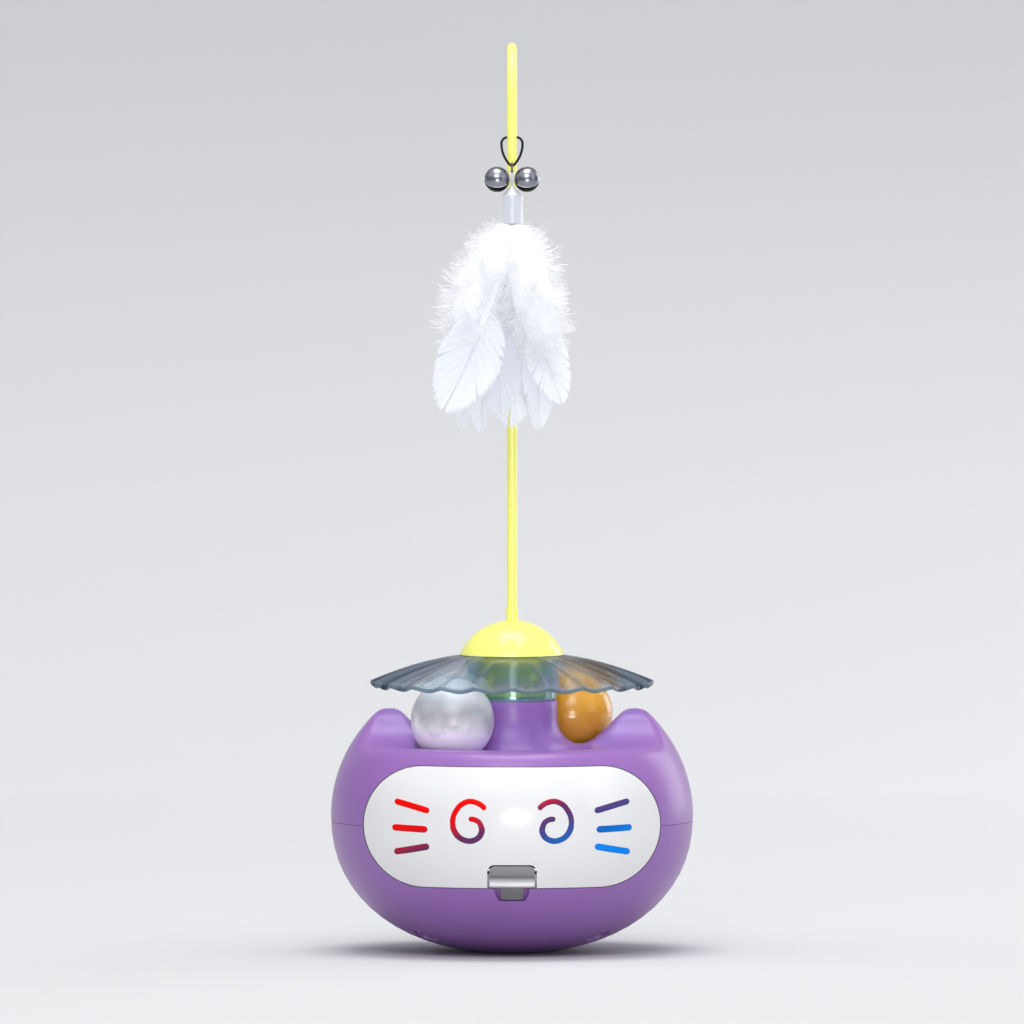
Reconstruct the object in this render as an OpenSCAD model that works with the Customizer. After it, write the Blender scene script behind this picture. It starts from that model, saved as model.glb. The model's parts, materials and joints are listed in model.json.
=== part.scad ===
// Wobble cat toy: a weighted cat-head base with two trapped balls, a spinning clear
// canopy and a cane that dangles a feather lure. The front faces -Y and the toy stands on z = 0.

/* [Base shell] */
// Radius of the base at its widest
body_r = 65.2; // [62:0.2:70]
// Height of the widest ring
belly_z = 49.3; // [47:0.1:52]
// Depth of the bowl's curve below the widest ring, past the flat foot
bowl_depth = 49.95; // [49.6:0.05:50.6]
// Fullness of the bowl's curve, 2 is an ellipse
bowl_power = 2.2; // [2:0.05:2.4]
// Height of the upper ellipse above the widest ring
crown_rise = 56; // [54:0.5:60]
// Height of the parting line
part_z = 47.2; // [45:0.1:49]
// Thickness of the shells
wall = 2.4; // [2.2:0.1:2.8]
// Height of the deck in front of and behind the column
deck_z = 74.8; // [74:0.1:76]
// Height of the lip that keys the shells together
key_h = 2.5; // [1.5:0.1:3]
// Gap between that lip and the tray's flange
key_gap = 1; // [0.5:0.1:2]

/* [Ears and column] */
// Height of the ear tips
ear_z = 87.8; // [85:0.1:89]
// Distance of the ear tips from the axis
ear_r = 44; // [43:0.1:45]
// Rounding of the ear towards the outside
ear_outer_r = 8.3; // [8:0.1:8.8]
// Rounding of the ear towards the column
ear_inner_r = 6; // [5:0.1:7]
// Angle at which the ear's outer rounding leaves the body
ear_join_angle = 43; // [41:1:45]
// Slope of the ear towards the column
ear_slope_angle = 55; // [52:1:58]
// Angle at which that slope meets the valley
valley_angle = -30; // [-32:1:-28]
// Rounding of the ear's crest from front to back
ear_crest_r = 11; // [9:0.5:14]
// Half length of an ear's foot from front to back
ear_half_l = 26; // [24:0.5:28]
// Radius of the column
column_r = 16.4; // [16:0.1:16.5]
// Height of the column's top
column_z = 90.7; // [90.4:0.1:91]
// Radius of the valley ring between the column and the ears
valley_r = 26; // [25:0.1:27]
// Height of the valley floor
valley_z = 74.5; // [74:0.1:75]
// Thickness of the column's top plate
column_top_t = 2.8; // [2.4:0.1:4]

/* [Balls] */
// Radius of a ball
ball_r = 15; // [14.5:0.1:15.1]
// Radius of the circle that the balls roll on
track_r = 32; // [31.9:0.1:33]
// Height of a ball's centre
ball_z = 84.6; // [84:0.1:85]
// Room round a ball in its bay
ball_gap = 0.3; // [0.2:0.05:0.6]
// Angle at which the front ball rests, from +X
front_ball_angle = 228; // [222:1:232]
// Angle at which the back ball rests, from +X
back_ball_angle = 48; // [42:1:52]
// Angle over which a ball rolls in its bay
roll_angle = 72; // [60:1:76]
// Further angle of a bay at each end
bay_spare_angle = 1.5; // [1:0.5:3]
// Widening of a bay round a ball at its end
pocket_gap = 0.6; // [0.4:0.1:0.8]

/* [Face and tray] */
// Width of the face opening
face_w = 107; // [104:0.5:108]
// Height of the face opening
face_h = 44; // [42:0.5:44.5]
// Height of the middle of the face
face_z = 47.9; // [47:0.1:48.5]
// Gap round the face cover
face_gap = 0.3; // [0.2:0.05:0.6]
// Thickness of the face cover
face_t = 2; // [1.6:0.1:2.3]
// Width of the tray's flange, inwards from the face opening
flange_in = 5.5; // [5.4:0.05:5.6]
// Width of the tray's flange, outwards from the face opening
flange_out = 2.2; // [1.8:0.1:2.3]
// Thickness of the tray's flange and walls
tray_wall = 1.6; // [1.4:0.1:2]
// Gap between the tray and the shells
tray_gap = 0.15; // [0.1:0.05:0.3]
// Distance of the tray's back face in front of the axis
tray_back_y = 12; // [10:0.5:18]
// Thickness of the cover's locating skirt
skirt_t = 1.4; // [1.2:0.1:2]
// Depth of the cover's locating skirt, from the outside
skirt_depth = 6; // [5:0.1:8]

/* [Latch] */
// Width of the latch
latch_w = 16.2; // [14:0.1:18]
// Height of the latch on the face
latch_h = 8.3; // [8:0.1:9]
// Gap at the latch's sides
latch_gap = 0.8; // [0.5:0.05:1]
// Gap above the latch
latch_top_gap = 0.5; // [0.45:0.05:0.8]
// Corner radius of the latch
latch_corner_r = 1.8; // [1:0.1:2.5]
// Height of the finger scoop across the latch
scoop_h = 4.8; // [4:0.1:5]
// Depth of the finger scoop
scoop_depth = 0.6; // [0.4:0.05:0.7]
// Width of the tongue below the latch
tongue_w = 8; // [6:0.1:9]
// Length of the tongue below the face
tongue_h = 4; // [3:0.1:4.4]
// Depth of the tongue's notch in the bowl
notch_depth = 1.6; // [1.4:0.05:1.7]
// Width of the tongue's notch
notch_w = 12.6; // [11:0.1:14]
// Thickness of the tongue
tongue_t = 1; // [0.8:0.05:1.1]
// Radius of the latch pin
latch_pin_r = 0.8; // [0.7:0.05:0.9]
// Height of the latch pin above the bottom of the face
latch_pin_up = 7.1; // [7.1:0.05:7.2]
// Radius of the latch's barrel and of the cover's lugs
latch_barrel_r = 1.5; // [1.4:0.05:1.6]
// Depth of the latch pin behind the face cover
latch_pin_in = 0.6; // [0.5:0.05:0.8]
// Thickness of the lugs that hold the latch pin
lug_t = 1.6; // [1.4:0.1:2]
// Gap between the latch's window and a lug
lug_gap = 0.4; // [0.3:0.05:0.6]
// Thickness of the latch spring
latch_spring_t = 0.4; // [0.3:0.05:0.5]
// Width of the latch spring
latch_spring_w = 5.4; // [4:0.1:7]
// Gap between the latch spring and the latch's heel
latch_spring_gap = 0.3; // [0.25:0.05:0.4]
// Height of the latch spring's post above the latch pin
spring_post_up = 7; // [6:0.5:9]
// Height of the latch spring's post
spring_post_h = 6; // [5:0.5:8]
// Gap below the tongue
tongue_gap = 0.5; // [0.4:0.05:0.8]
// Gap between the tongue and the floor of its notch
tongue_seat_gap = 0.3; // [0.2:0.05:0.4]

/* [Weight and screws] */
// Radius of the counterweight
weight_r = 25; // [23:0.2:25.2]
// Height of the counterweight's top
weight_z = 18.5; // [16:0.5:19]
// Gap under the counterweight
weight_gap = 0.2; // [0.1:0.05:0.4]
// Thickness of the weight clamp
clamp_t = 2; // [1.5:0.1:2.2]
// Radius of the clamp's plate
clamp_r = 16; // [14:0.5:20]
// Width of a clamp arm
clamp_arm_w = 8; // [7:0.5:9]
// Distance of the shells' and the clamp's screws from the axis
screw_ring_r = 30.6; // [30.4:0.1:31]
// Distance of the tray's screws to each side of the middle
tray_screw_x = 31; // [30.5:0.1:31.5]
// Distance of the tray's screws in front of the axis
tray_screw_y = 20; // [19.5:0.1:20.5]
// Radius of a screw's shank
screw_r = 1.5; // [1.3:0.05:1.6]
// Radius of a screw's head
screw_head_r = 2.9; // [2.6:0.05:3.1]
// Height of a screw's head
screw_head_h = 1.8; // [1.5:0.1:2.1]
// Clearance of a screw in its holes
screw_gap = 0.05; // [0.02:0.01:0.1]
// Radius of a screw boss
boss_r = 4.2; // [4:0.1:4.5]
// Radius of a screw well in the underside
well_r = 4.15; // [3.8:0.05:4.3]
// Wall round a screw well
well_wall = 1.2; // [1:0.1:1.2]
// Height of a screw well's roof
well_z = 10; // [9:0.5:12]
// Height at which the shells' bosses meet
boss_z = 18; // [16:0.5:19]
// Length of a screw past the joint of the bosses
screw_bite = 13; // [10:0.5:15]
// Length of a clamp screw in its boss
clamp_bite = 6; // [5:0.5:8]
// Free depth of a screw hole past the screw
screw_spare = 0.5; // [0.4:0.1:1]
// Length of the cross recess in a screw's head
drive_l = 3.2; // [2.8:0.1:4]
// Width of the cross recess in a screw's head
drive_w = 0.75; // [0.6:0.05:0.9]
// Depth of the cross recess in a screw's head
drive_depth = 0.9; // [0.7:0.1:1.2]

/* [Turntable] */
// Radius of the canopy's rim
canopy_r = 49.8; // [49:0.2:51]
// Radius of the canopy's spherical top
canopy_cap_r = 117; // [114:1:122]
// Height of the canopy's top at the edge of the dome
canopy_z = 106.8; // [106.6:0.1:107.5]
// Radius at which the flutes start, just past the dome
dome_edge_r = 19.6; // [19:0.1:20.5]
// Thickness of the canopy
canopy_t = 1.6; // [1.4:0.1:1.8]
// Number of flutes
flutes = 24; // [20:1:28]
// Height of a flute at the rim, each way
flute_amp = 0.6; // [0.4:0.1:0.8]
// Reach of the scallops at the rim, each way
scallop = 0.8; // [0.4:0.1:1]
// Thickness of the canopy's neck
neck_wall = 1.8; // [1.4:0.1:2]
// Gap under the neck
neck_gap = 0.3; // [0.2:0.05:0.4]
// Radius of the dome
dome_r = 20.6; // [20.2:0.1:21]
// Height of the dome's top
dome_z = 119.5; // [119:0.1:121]
// Radius of the dome's stem
stem_r = 11.7; // [11:0.1:12]
// Gap round the stem and under the dome
stem_gap = 0.2; // [0.1:0.05:0.4]
// Radius of the journal
journal_r = 7; // [6.5:0.1:7.5]
// Height of the journal's lower end
journal_z = 78.5; // [78:0.1:79]
// Running clearance of the journal in its bush
run_gap = 0.05; // [0.02:0.01:0.09]
// Wall of the bush
bush_wall = 2.4; // [2:0.1:2.6]
// Radius of the bush flange
flange_r = 12; // [11.8:0.1:13]
// Thickness of the bush flange
flange_t = 1; // [0.8:0.1:1.1]
// Thickness of the thrust washer
thrust_t = 0.6; // [0.5:0.05:0.8]
// Gap above and below the thrust washer
thrust_gap = 0.05; // [0.03:0.01:0.1]
// Step of the thrust washer inside the stem
thrust_step = 0.5; // [0.3:0.1:1]
// Thickness of the retaining washer
washer_t = 1.2; // [1:0.1:1.5]
// End play of the turntable below the bush
end_play = 0.5; // [0.3:0.05:0.6]

/* [Cane] */
// Radius of the cane
rod_r = 1.8; // [1.6:0.05:1.9]
// Radius of the cane's plug end
rod_plug_r = 2.15; // [2:0.05:2.3]
// Clearance of the plug in the dome
rod_gap = 0.05; // [0.03:0.01:0.1]
// Gap under the plug
rod_seat_gap = 0.1; // [0.05:0.05:0.3]
// Height of the socket's floor in the dome
rod_foot_z = 96; // [95:0.5:98]
// Height of the plug's upper end
rod_plug_z = 124; // [122:0.5:126]
// Height of the top of the cane
rod_top_z = 328; // [320:1:340]
// Radius of the cane's bend
bend_r = 18; // [17:0.5:20]
// Length of the cane's tip below the bend
tip_l = 17.8; // [16:0.2:20]
// Height of the cross hole above the tip
tip_hole_up = 4.3; // [4:0.1:5]

/* [Lure] */
// Radius of the loop's wire
wire_r = 0.45; // [0.4:0.05:0.5]
// Clearance of the wire in the cane's cross hole
wire_gap = 0.1; // [0.05:0.01:0.15]
// Half width of the loop
loop_half_w = 3.8; // [3.7:0.1:4]
// Bend of the loop at its shoulders
loop_shoulder_r = 2.3; // [2:0.1:2.3]
// Length of the loop
loop_l = 10.2; // [9.8:0.1:11]
// Bend of the loop at its bottom
loop_bend_r = 1.2; // [1.1:0.1:1.4]
// Radius of the jump ring
ring_r = 1.6; // [1.5:0.05:1.8]
// Radius of the jump ring's wire
ring_wire_r = 0.35; // [0.3:0.01:0.36]
// Play between linked rings
link_gap = 0.06; // [0.04:0.01:0.1]
// Radius of the plug's eye, to the middle of its band
eye_r = 0.75; // [0.7:0.05:0.8]
// Half the width of the eye's band
eye_wire_r = 0.25; // [0.2:0.01:0.26]
// Radius of the plug's neck
plug_neck_r = 0.6; // [0.55:0.01:0.62]
// Height of the plug's cone
plug_cone_h = 3.2; // [2.6:0.1:3.4]
// Depth of the plug in the sleeve
plug_depth = 3; // [2.5:0.1:4]
// Gap round the plug in the sleeve
plug_gap = 0.05; // [0.03:0.01:0.1]
// Radius of the sleeve
sleeve_r = 3.9; // [3.6:0.1:4.2]
// Wall of the sleeve
sleeve_wall = 0.6; // [0.5:0.05:0.7]
// Length of the sleeve
sleeve_l = 10; // [9:0.5:12]
// Depth of the sleeve's shoulder below the eye
plug_shoulder_down = 8.2; // [8:0.1:9]
// Radius of the bead between the bells
neck_bead_r = 0.68; // [0.64:0.02:0.7]
// Radius of a bell
bell_r = 4.6; // [4.4:0.05:4.7]
// Thickness of a bell
bell_wall = 0.5; // [0.4:0.05:0.6]
// Half distance between the bells
bell_x = 5.35; // [5.3:0.05:5.5]
// Depth of the bells' centres below the eye
bell_down = 2.6; // [2.5:0.05:2.7]
// Width of a bell's slot
bell_slot_w = 1; // [0.8:0.1:1.2]
// Radius of a bell's pellet
pellet_r = 1.4; // [1.2:0.1:1.6]
// Radius of the pin that carries the bells
bell_pin_r = 0.3; // [0.25:0.01:0.32]
// Length of that pin past a bell
bell_pin_past = 0.3; // [0.2:0.05:0.5]
// Running clearance of the bells on their pin
bell_pin_gap = 0.05; // [0.03:0.01:0.08]
// Gap of that pin in the plug's neck
neck_pin_gap = 0.02; // [0.01:0.01:0.03]
// Length of a bell's slot
bell_slot_l = 6.4; // [6:0.1:7]
// Radius of the round ends of a bell's slot
bell_slot_end_r = 0.8; // [0.7:0.05:0.9]
// Gap under a bell's pellet
pellet_gap = 0.15; // [0.1:0.05:0.2]

/* [Feathers] */
// Number of outer feathers
outer_feathers = 6; // [5:1:6]
// Number of inner feathers
inner_feathers = 3; // [3:1:3]
// Length of an outer feather
outer_l = 84; // [76:1:88]
// Length of an inner feather
inner_l = 72; // [60:1:80]
// Bow of the outer feathers away from the lure's axis
outer_bow = 15; // [14:0.5:16]
// Bow of the inner feathers away from the lure's axis
inner_bow = 5; // [4.5:0.1:6]
// Half width of an outer feather
outer_half_w = 8; // [7:0.1:8.5]
// Half width of an inner feather
inner_half_w = 4.4; // [4:0.1:4.8]
// Half thickness of an outer feather's fluff
outer_half_t = 4; // [3:0.1:4.4]
// Half thickness of an inner feather's fluff
inner_half_t = 2; // [1.5:0.1:2.2]
// Distance of the outer quills from the lure's axis
outer_root_r = 2.4; // [2.3:0.05:2.6]
// Distance of the inner quills from the lure's axis
inner_root_r = 0.9; // [0.8:0.05:1]
// Radius of a quill
quill_r = 0.55; // [0.5:0.05:0.6]
// Gap between a quill and the plug
quill_gap = 0.1; // [0.05:0.05:0.2]

/* [Hidden] */
$fn = 64;

purple = [0.57, 0.39, 0.70];
yellow = [0.98, 0.97, 0.47];
steel = [0.72, 0.72, 0.74];
white = [0.95, 0.95, 0.96];

// Levels and places that follow from the sizes above
curve_steps = 14;
form_top_t = 40;
cap_centre_z = canopy_z - sqrt(pow(canopy_cap_r, 2) - pow(dome_edge_r, 2));
dome_centre_z = dome_z - dome_r;
stem_z = column_z + flange_t + thrust_t + 2 * thrust_gap;
bush_z = journal_z + end_play;
tube_z = ball_z - ball_r - ball_gap - wall;
bush_r = journal_r + run_gap + bush_wall;
face_bottom_z = face_z - face_h / 2;
latch_pin_z = face_bottom_z + latch_pin_up;
latch_pin_y = -outer_radius(latch_pin_z) + face_t + latch_pin_in;
lug_x = latch_w / 2 + latch_gap + lug_gap + lug_t / 2;
spring_y = latch_pin_y + latch_barrel_r + latch_spring_gap;
post_z = latch_pin_z + spring_post_up;
mouth_w = face_w - 2 * flange_in;
mouth_h = face_h - 2 * flange_in;
lure_y = -2 * bend_r;
rod_low_z = rod_foot_z + rod_seat_gap;
bend_z = rod_top_z - rod_r - bend_r;
tip_z = bend_z - tip_l;
hole_z = tip_z + tip_hole_up;
loop_low_z = hole_z - loop_l;
ring_z = loop_low_z + wire_r + ring_wire_r + link_gap - ring_r;
pivot_z = ring_z - ring_r;
eye_z = pivot_z + ring_wire_r + eye_wire_r + link_gap - eye_r;
bell_z = pivot_z - bell_down;
shoulder_z = pivot_z - plug_shoulder_down;
feather_root_z = shoulder_z - plug_depth;
screw_angles = [0, 90, 180];
clamp_angles = [45, 135, 270];
tall = 400;
wide = 200;
over = 1;

// Points of an arc about a centre
function arc(x, z, r, from, to, n) =
    [for (i = [0 : n]) let (a = from + (to - from) * i / n) [x + r * cos(a), z + r * sin(a)]];
// A point of the bowl's curve, with the shell's offset inwards
function bowl_point(t, off) =
    [(body_r - off) * pow(cos(t), 2 / bowl_power),
     belly_z - (bowl_depth - off) * pow(sin(t), 2 / bowl_power)];
// The angle at which the bowl's curve reaches a height
function bowl_angle(z, off) = asin(pow(min(1, (belly_z - z) / (bowl_depth - off)), bowl_power / 2));
// A point of the upper ellipse
function crown_point(t, off) =
    [(body_r - off) * cos(t), belly_z + (crown_rise - off) * sin(t)];
// The radius of the outside at a height
function outer_radius(z) = z < belly_z
    ? (body_r) * pow(1 - pow((belly_z - z) / bowl_depth, bowl_power), 1 / bowl_power)
    : body_r * sqrt(1 - pow((z - belly_z) / crown_rise, 2));

// The round outside of the base, moved inwards by off and cut above the deck
module base_form(off) {
    low_t = off > 0 ? 90 : bowl_angle(0, 0);
    low = [for (i = [curve_steps : -1 : 1]) bowl_point(low_t * i / curve_steps, off)];
    high = [for (i = [0 : curve_steps]) crown_point(form_top_t * i / curve_steps, off)];
    first = low[0];
    last = high[len(high) - 1];
    floor_points = off > 0 ? [] : [[0, first[1]]];
    rotate_extrude($fn = 128) polygon(concat(floor_points, low, high, [[0, last[1]]]));
}

// A layer of the base between two depths
module base_layer(from, to) {
    difference() {
        base_form(from);
        base_form(to);
    }
}

// An upright stadium in front of the axis, reaching back to depth_y
module stadium(w, h, depth_y = 0) {
    translate([0, -depth_y, face_z]) rotate([90, 0, 0]) linear_extrude(wide) stadium_outline(w, h);
}

module stadium_outline(w, h) {
    end_x = (w - h) / 2;
    square([2 * end_x, h], center = true);
    for (side = [-1, 1]) translate([side * end_x, 0]) circle(h / 2);
}

// What lies below a height
module below(z) { translate([-wide, -wide, z - tall]) cube([2 * wide, 2 * wide, tall]); }

// Places on the ring of screws
module on_screw_ring(angles) {
    for (a = angles) rotate([0, 0, a]) translate([screw_ring_r, 0, 0]) children();
}

module on_tray_screws() {
    for (side = [-1, 1]) translate([side * tray_screw_x, -tray_screw_y, 0]) children();
}

// The volume that a ball sweeps in its bay, with extra round it
module bay(rest_a, extra) {
    from_a = rest_a - bay_spare_angle;
    sweep_a = roll_angle + 2 * bay_spare_angle;
    r = ball_r + ball_gap + extra;
    rotate([0, 0, from_a]) rotate_extrude(angle = sweep_a, $fn = 128)
        translate([track_r, ball_z]) circle(r);
    for (a = [from_a, from_a + sweep_a])
        rotate([0, 0, a]) translate([track_r, 0, ball_z]) sphere(r + pocket_gap);
}

// Ring with both ears' profile all the way round, and the column inside it
module crown_ring() {
    valley_bend = valley_r - column_r;
    outer_t = acos((ear_r + ear_outer_r * cos(ear_join_angle)) / body_r);
    part_t = bowl_angle(part_z, 0);
    belly = [for (i = [2 : -1 : 1]) bowl_point(part_t * i / 2, 0)];
    outside = [for (i = [0 : curve_steps - 1]) crown_point(outer_t * i / curve_steps, 0)];
    tip = arc(ear_r, ear_z - ear_outer_r, ear_outer_r, ear_join_angle, 90, 6);
    inner_tip = arc(ear_r, ear_z - ear_inner_r, ear_inner_r, 90 + ear_slope_angle / 5, 90 + ear_slope_angle, 5);
    valley = arc(valley_r, valley_z + valley_bend, valley_bend, valley_angle, -180, 14);
    rotate_extrude($fn = 128) polygon(concat([[0, part_z]], belly, outside, tip, inner_tip,
        valley, [[column_r, column_z], [0, column_z]]));
}

// Side outline of the deck and the ears' crest, swept along X
module crest() {
    crest_z = ear_z - ear_crest_r;
    rise = ear_z - deck_z;
    fillet_r = (pow(ear_half_l, 2) + rise * rise) / (2 * rise) - ear_crest_r;
    share = ear_crest_r / (ear_crest_r + fillet_r);
    meet_z = crest_z + (deck_z + fillet_r - crest_z) * share;
    rotate([90, 0, 90]) linear_extrude(wide, center = true) {
        translate([-wide, 0]) square([2 * wide, deck_z]);
        translate([0, crest_z]) circle(ear_crest_r, $fn = 128);
        difference() {
            translate([-ear_half_l, 0]) square([2 * ear_half_l, meet_z]);
            for (side = [-1, 1]) translate([side * ear_half_l, deck_z + fillet_r])
                circle(fillet_r, $fn = 128);
        }
    }
}

// Outside of the upper shell
module upper_form() {
    intersection() {
        crown_ring();
        union() {
            crest();
            cylinder(h = column_z, r = valley_r);
        }
    }
}

// Space inside the upper shell
module upper_space() {
    difference() {
        intersection() {
            base_form(wall);
            below(deck_z - wall);
        }
        bay(front_ball_angle, wall);
        bay(back_ball_angle, wall);
        rotate_extrude($fn = 128) difference() {
            translate([0, tube_z]) square([column_r, column_z - tube_z]);
            translate([0, tube_z]) square([column_r - wall, column_z - tube_z]);
        }
    }
    translate([0, 0, part_z]) cylinder(h = column_z - column_top_t - part_z, r = column_r - wall);
}

module lower_shell() {
    color(purple) difference() {
        union() {
            difference() {
                intersection() {
                    base_form(0);
                    below(part_z);
                }
                base_form(wall);
            }
            intersection() {
                base_form(wall / 2);
                union() {
                    on_screw_ring(screw_angles) well_boss();
                    on_tray_screws() well_boss();
                }
            }
            intersection() {
                base_form(wall / 2);
                on_screw_ring(clamp_angles) cylinder(h = weight_z, r = boss_r);
            }
            shell_key();
        }
        stadium(face_w, face_h);
        on_screw_ring(screw_angles) well_bore();
        on_tray_screws() well_bore();
        on_screw_ring(clamp_angles) translate([0, 0, weight_z - clamp_bite - screw_spare])
            cylinder(h = tall, r = screw_r + screw_gap);
        tongue_notch();
    }
}

// Boss over a screw well in the bowl
module well_boss() {
    cylinder(h = well_z + well_wall, r = well_r + well_wall);
    cylinder(h = boss_z, r = boss_r);
}

// Screw well and the bore above it
module well_bore() {
    cylinder(h = well_z, r = well_r);
    cylinder(h = tall, r = screw_r + screw_gap);
}

// Lip inside the parting line, open where the tray's flange passes
module shell_key() {
    key_open = 2 * (flange_out + key_gap);
    difference() {
        intersection() {
            base_layer(wall + tray_gap, wall + tray_gap + tray_wall);
            below(part_z + key_h);
        }
        below(part_z);
        stadium(face_w + key_open, face_h + key_open);
    }
    difference() {
        intersection() {
            base_layer(wall / 2, wall + tray_gap + tray_wall);
            below(part_z);
        }
        below(part_z - key_h);
        stadium(face_w + key_open, face_h + key_open);
    }
}

// Open notch under the face for the latch's tongue
module tongue_notch() {
    notch_low = tongue_h + tongue_gap;
    intersection() {
        base_layer(-over, notch_depth);
        translate([0, 0, face_bottom_z]) rotate([90, 0, 0]) linear_extrude(wide) intersection() {
            circle(notch_w / 2);
            translate([-notch_w / 2, -notch_low]) square([notch_w, notch_low + over]);
        }
    }
}

module upper_shell() {
    color(purple) difference() {
        union() {
            difference() {
                upper_form();
                upper_space();
            }
            on_screw_ring(screw_angles) translate([0, 0, boss_z])
                cylinder(h = deck_z - boss_z - wall / 2, r = boss_r);
            translate([0, 0, bush_z])
                cylinder(h = column_z - bush_z - column_top_t / 2, r = bush_r + wall);
        }
        bay(front_ball_angle, 0);
        bay(back_ball_angle, 0);
        intersection() {
            base_layer(-over, wall + over);
            stadium(face_w, face_h);
        }
        on_screw_ring(screw_angles) translate([0, 0, boss_z - over])
            cylinder(h = screw_bite + screw_spare + over, r = screw_r + screw_gap);
        translate([0, 0, bush_z - over]) cylinder(h = tall, r = bush_r + screw_gap);
    }
}

module counterweight() {
    color([0.25, 0.25, 0.27]) intersection() {
        base_form(wall + weight_gap);
        cylinder(h = weight_z, r = weight_r);
    }
}

module weight_clamp() {
    color(steel) translate([0, 0, weight_z]) difference() {
        union() {
            cylinder(h = clamp_t, r = clamp_r);
            for (a = clamp_angles) rotate([0, 0, a]) {
                translate([0, -clamp_arm_w / 2, 0]) cube([screw_ring_r, clamp_arm_w, clamp_t]);
                translate([screw_ring_r, 0, 0]) cylinder(h = clamp_t, r = clamp_arm_w / 2);
            }
        }
        on_screw_ring(clamp_angles) translate([0, 0, -over])
            cylinder(h = clamp_t + 2 * over, r = screw_r + screw_gap);
    }
}

// Round-head screw, head at z = 0 and shank along +Z
module screw(l) {
    cylinder(h = l, r = screw_r);
    translate([0, 0, -screw_head_h]) difference() {
        cylinder(h = screw_head_h, r = screw_head_r);
        for (a = [0, 90]) rotate([0, 0, a]) cube([drive_l, drive_w, 2 * drive_depth], center = true);
    }
}

module weight_screws() {
    color(steel) on_screw_ring(clamp_angles) translate([0, 0, weight_z + clamp_t]) mirror([0, 0, 1])
        screw(clamp_t + clamp_bite);
}

module shell_screws() {
    color(steel) on_screw_ring(screw_angles) translate([0, 0, well_z])
        screw(boss_z - well_z + screw_bite);
}

module tray_screws() {
    color(steel) on_tray_screws() translate([0, 0, well_z]) screw(boss_z - well_z + clamp_bite);
}

module treat_tray() {
    seat = wall + tray_gap;
    floor_z = face_z - mouth_h / 2;
    color(white) difference() {
        union() {
            intersection() {
                base_layer(seat, seat + tray_wall);
                stadium(face_w + 2 * flange_out, face_h + 2 * flange_out);
            }
            intersection() {
                base_form(seat);
                stadium(mouth_w + 2 * tray_wall, mouth_h + 2 * tray_wall, tray_back_y);
            }
            on_tray_screws() translate([0, 0, boss_z])
                cylinder(h = floor_z - tray_wall / 2 - boss_z, r = boss_r);
        }
        stadium(mouth_w, mouth_h, tray_back_y + tray_wall);
        on_tray_screws() translate([0, 0, boss_z - over])
            cylinder(h = clamp_bite + screw_spare + over, r = screw_r + screw_gap);
    }
}

module face_cover() {
    skirt_w = mouth_w - 2 * face_gap;
    skirt_h = mouth_h - 2 * face_gap;
    skirt_open = 2 * (lug_x + lug_t);
    color(white) difference() {
        union() {
            intersection() {
                base_layer(0, face_t);
                stadium(face_w - 2 * face_gap, face_h - 2 * face_gap);
            }
            difference() {
                intersection() {
                    base_layer(face_t / 2, skirt_depth);
                    stadium(skirt_w, skirt_h);
                }
                stadium(skirt_w - 2 * skirt_t, skirt_h - 2 * skirt_t);
                translate([-skirt_open / 2, -wide, 0]) cube([skirt_open, wide, face_z]);
            }
            intersection() {
                base_form(face_t / 2);
                translate([-latch_spring_w / 2, -wide, post_z])
                    cube([latch_spring_w, wide + spring_y, spring_post_h]);
            }
            for (side = [-1, 1]) translate([side * lug_x, 0, 0]) latch_lug();
        }
        latch_window();
        latch_pin_bore(latch_pin_r);
    }
}

// Ear on the cover that holds one end of the latch pin
module latch_lug() {
    intersection() {
        base_form(face_t / 2);
        translate([-lug_t / 2, -wide / 2, latch_pin_z - latch_barrel_r])
            cube([lug_t, wide / 2 + latch_pin_y + latch_barrel_r, 2 * latch_barrel_r]);
    }
}

module latch_pin_bore(r) {
    translate([0, latch_pin_y, latch_pin_z]) rotate([0, 90, 0])
        cylinder(h = 2 * lug_x + lug_t, r = r, center = true);
}

// Window in the cover for the latch
module latch_window() {
    latch_plate(latch_w + 2 * latch_gap, 0, face_bottom_z + latch_h + latch_top_gap,
        latch_corner_r + latch_gap);
}

// A plate across the front, round at its top corners
module latch_plate(w, low, top, corner_r) {
    rotate([90, 0, 0]) linear_extrude(wide) {
        translate([-w / 2, low]) square([w, top - corner_r - low]);
        translate([corner_r - w / 2, low]) square([w - 2 * corner_r, top - low]);
        for (side = [-1, 1]) translate([side * (w / 2 - corner_r), top - corner_r]) circle(corner_r);
    }
}

module latch() {
    barrel_w = latch_w - 2 * (latch_corner_r + latch_gap);
    tongue_floor = notch_depth - tongue_seat_gap;
    color(steel) difference() {
        union() {
            intersection() {
                base_layer(0, face_t);
                latch_plate(latch_w, face_bottom_z + face_gap, face_bottom_z + latch_h, latch_corner_r);
            }
            intersection() {
                base_layer(tongue_floor - tongue_t, tongue_floor);
                translate([-tongue_w / 2, -wide, face_bottom_z - tongue_h])
                    cube([tongue_w, wide, tongue_h + face_t]);
            }
            intersection() {
                base_form(face_t / 2);
                translate([-barrel_w / 2, -wide / 2, latch_pin_z - latch_barrel_r])
                    cube([barrel_w, wide / 2 + latch_pin_y, 2 * latch_barrel_r]);
            }
            translate([0, latch_pin_y, latch_pin_z]) {
                rotate([0, 90, 0]) cylinder(h = barrel_w, r = latch_barrel_r, center = true);
                translate([-latch_spring_w / 2, 0, 0])
                    cube([latch_spring_w, latch_barrel_r, latch_barrel_r]);
            }
        }
        latch_pin_bore(latch_pin_r + screw_gap);
        latch_scoop();
    }
}

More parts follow.
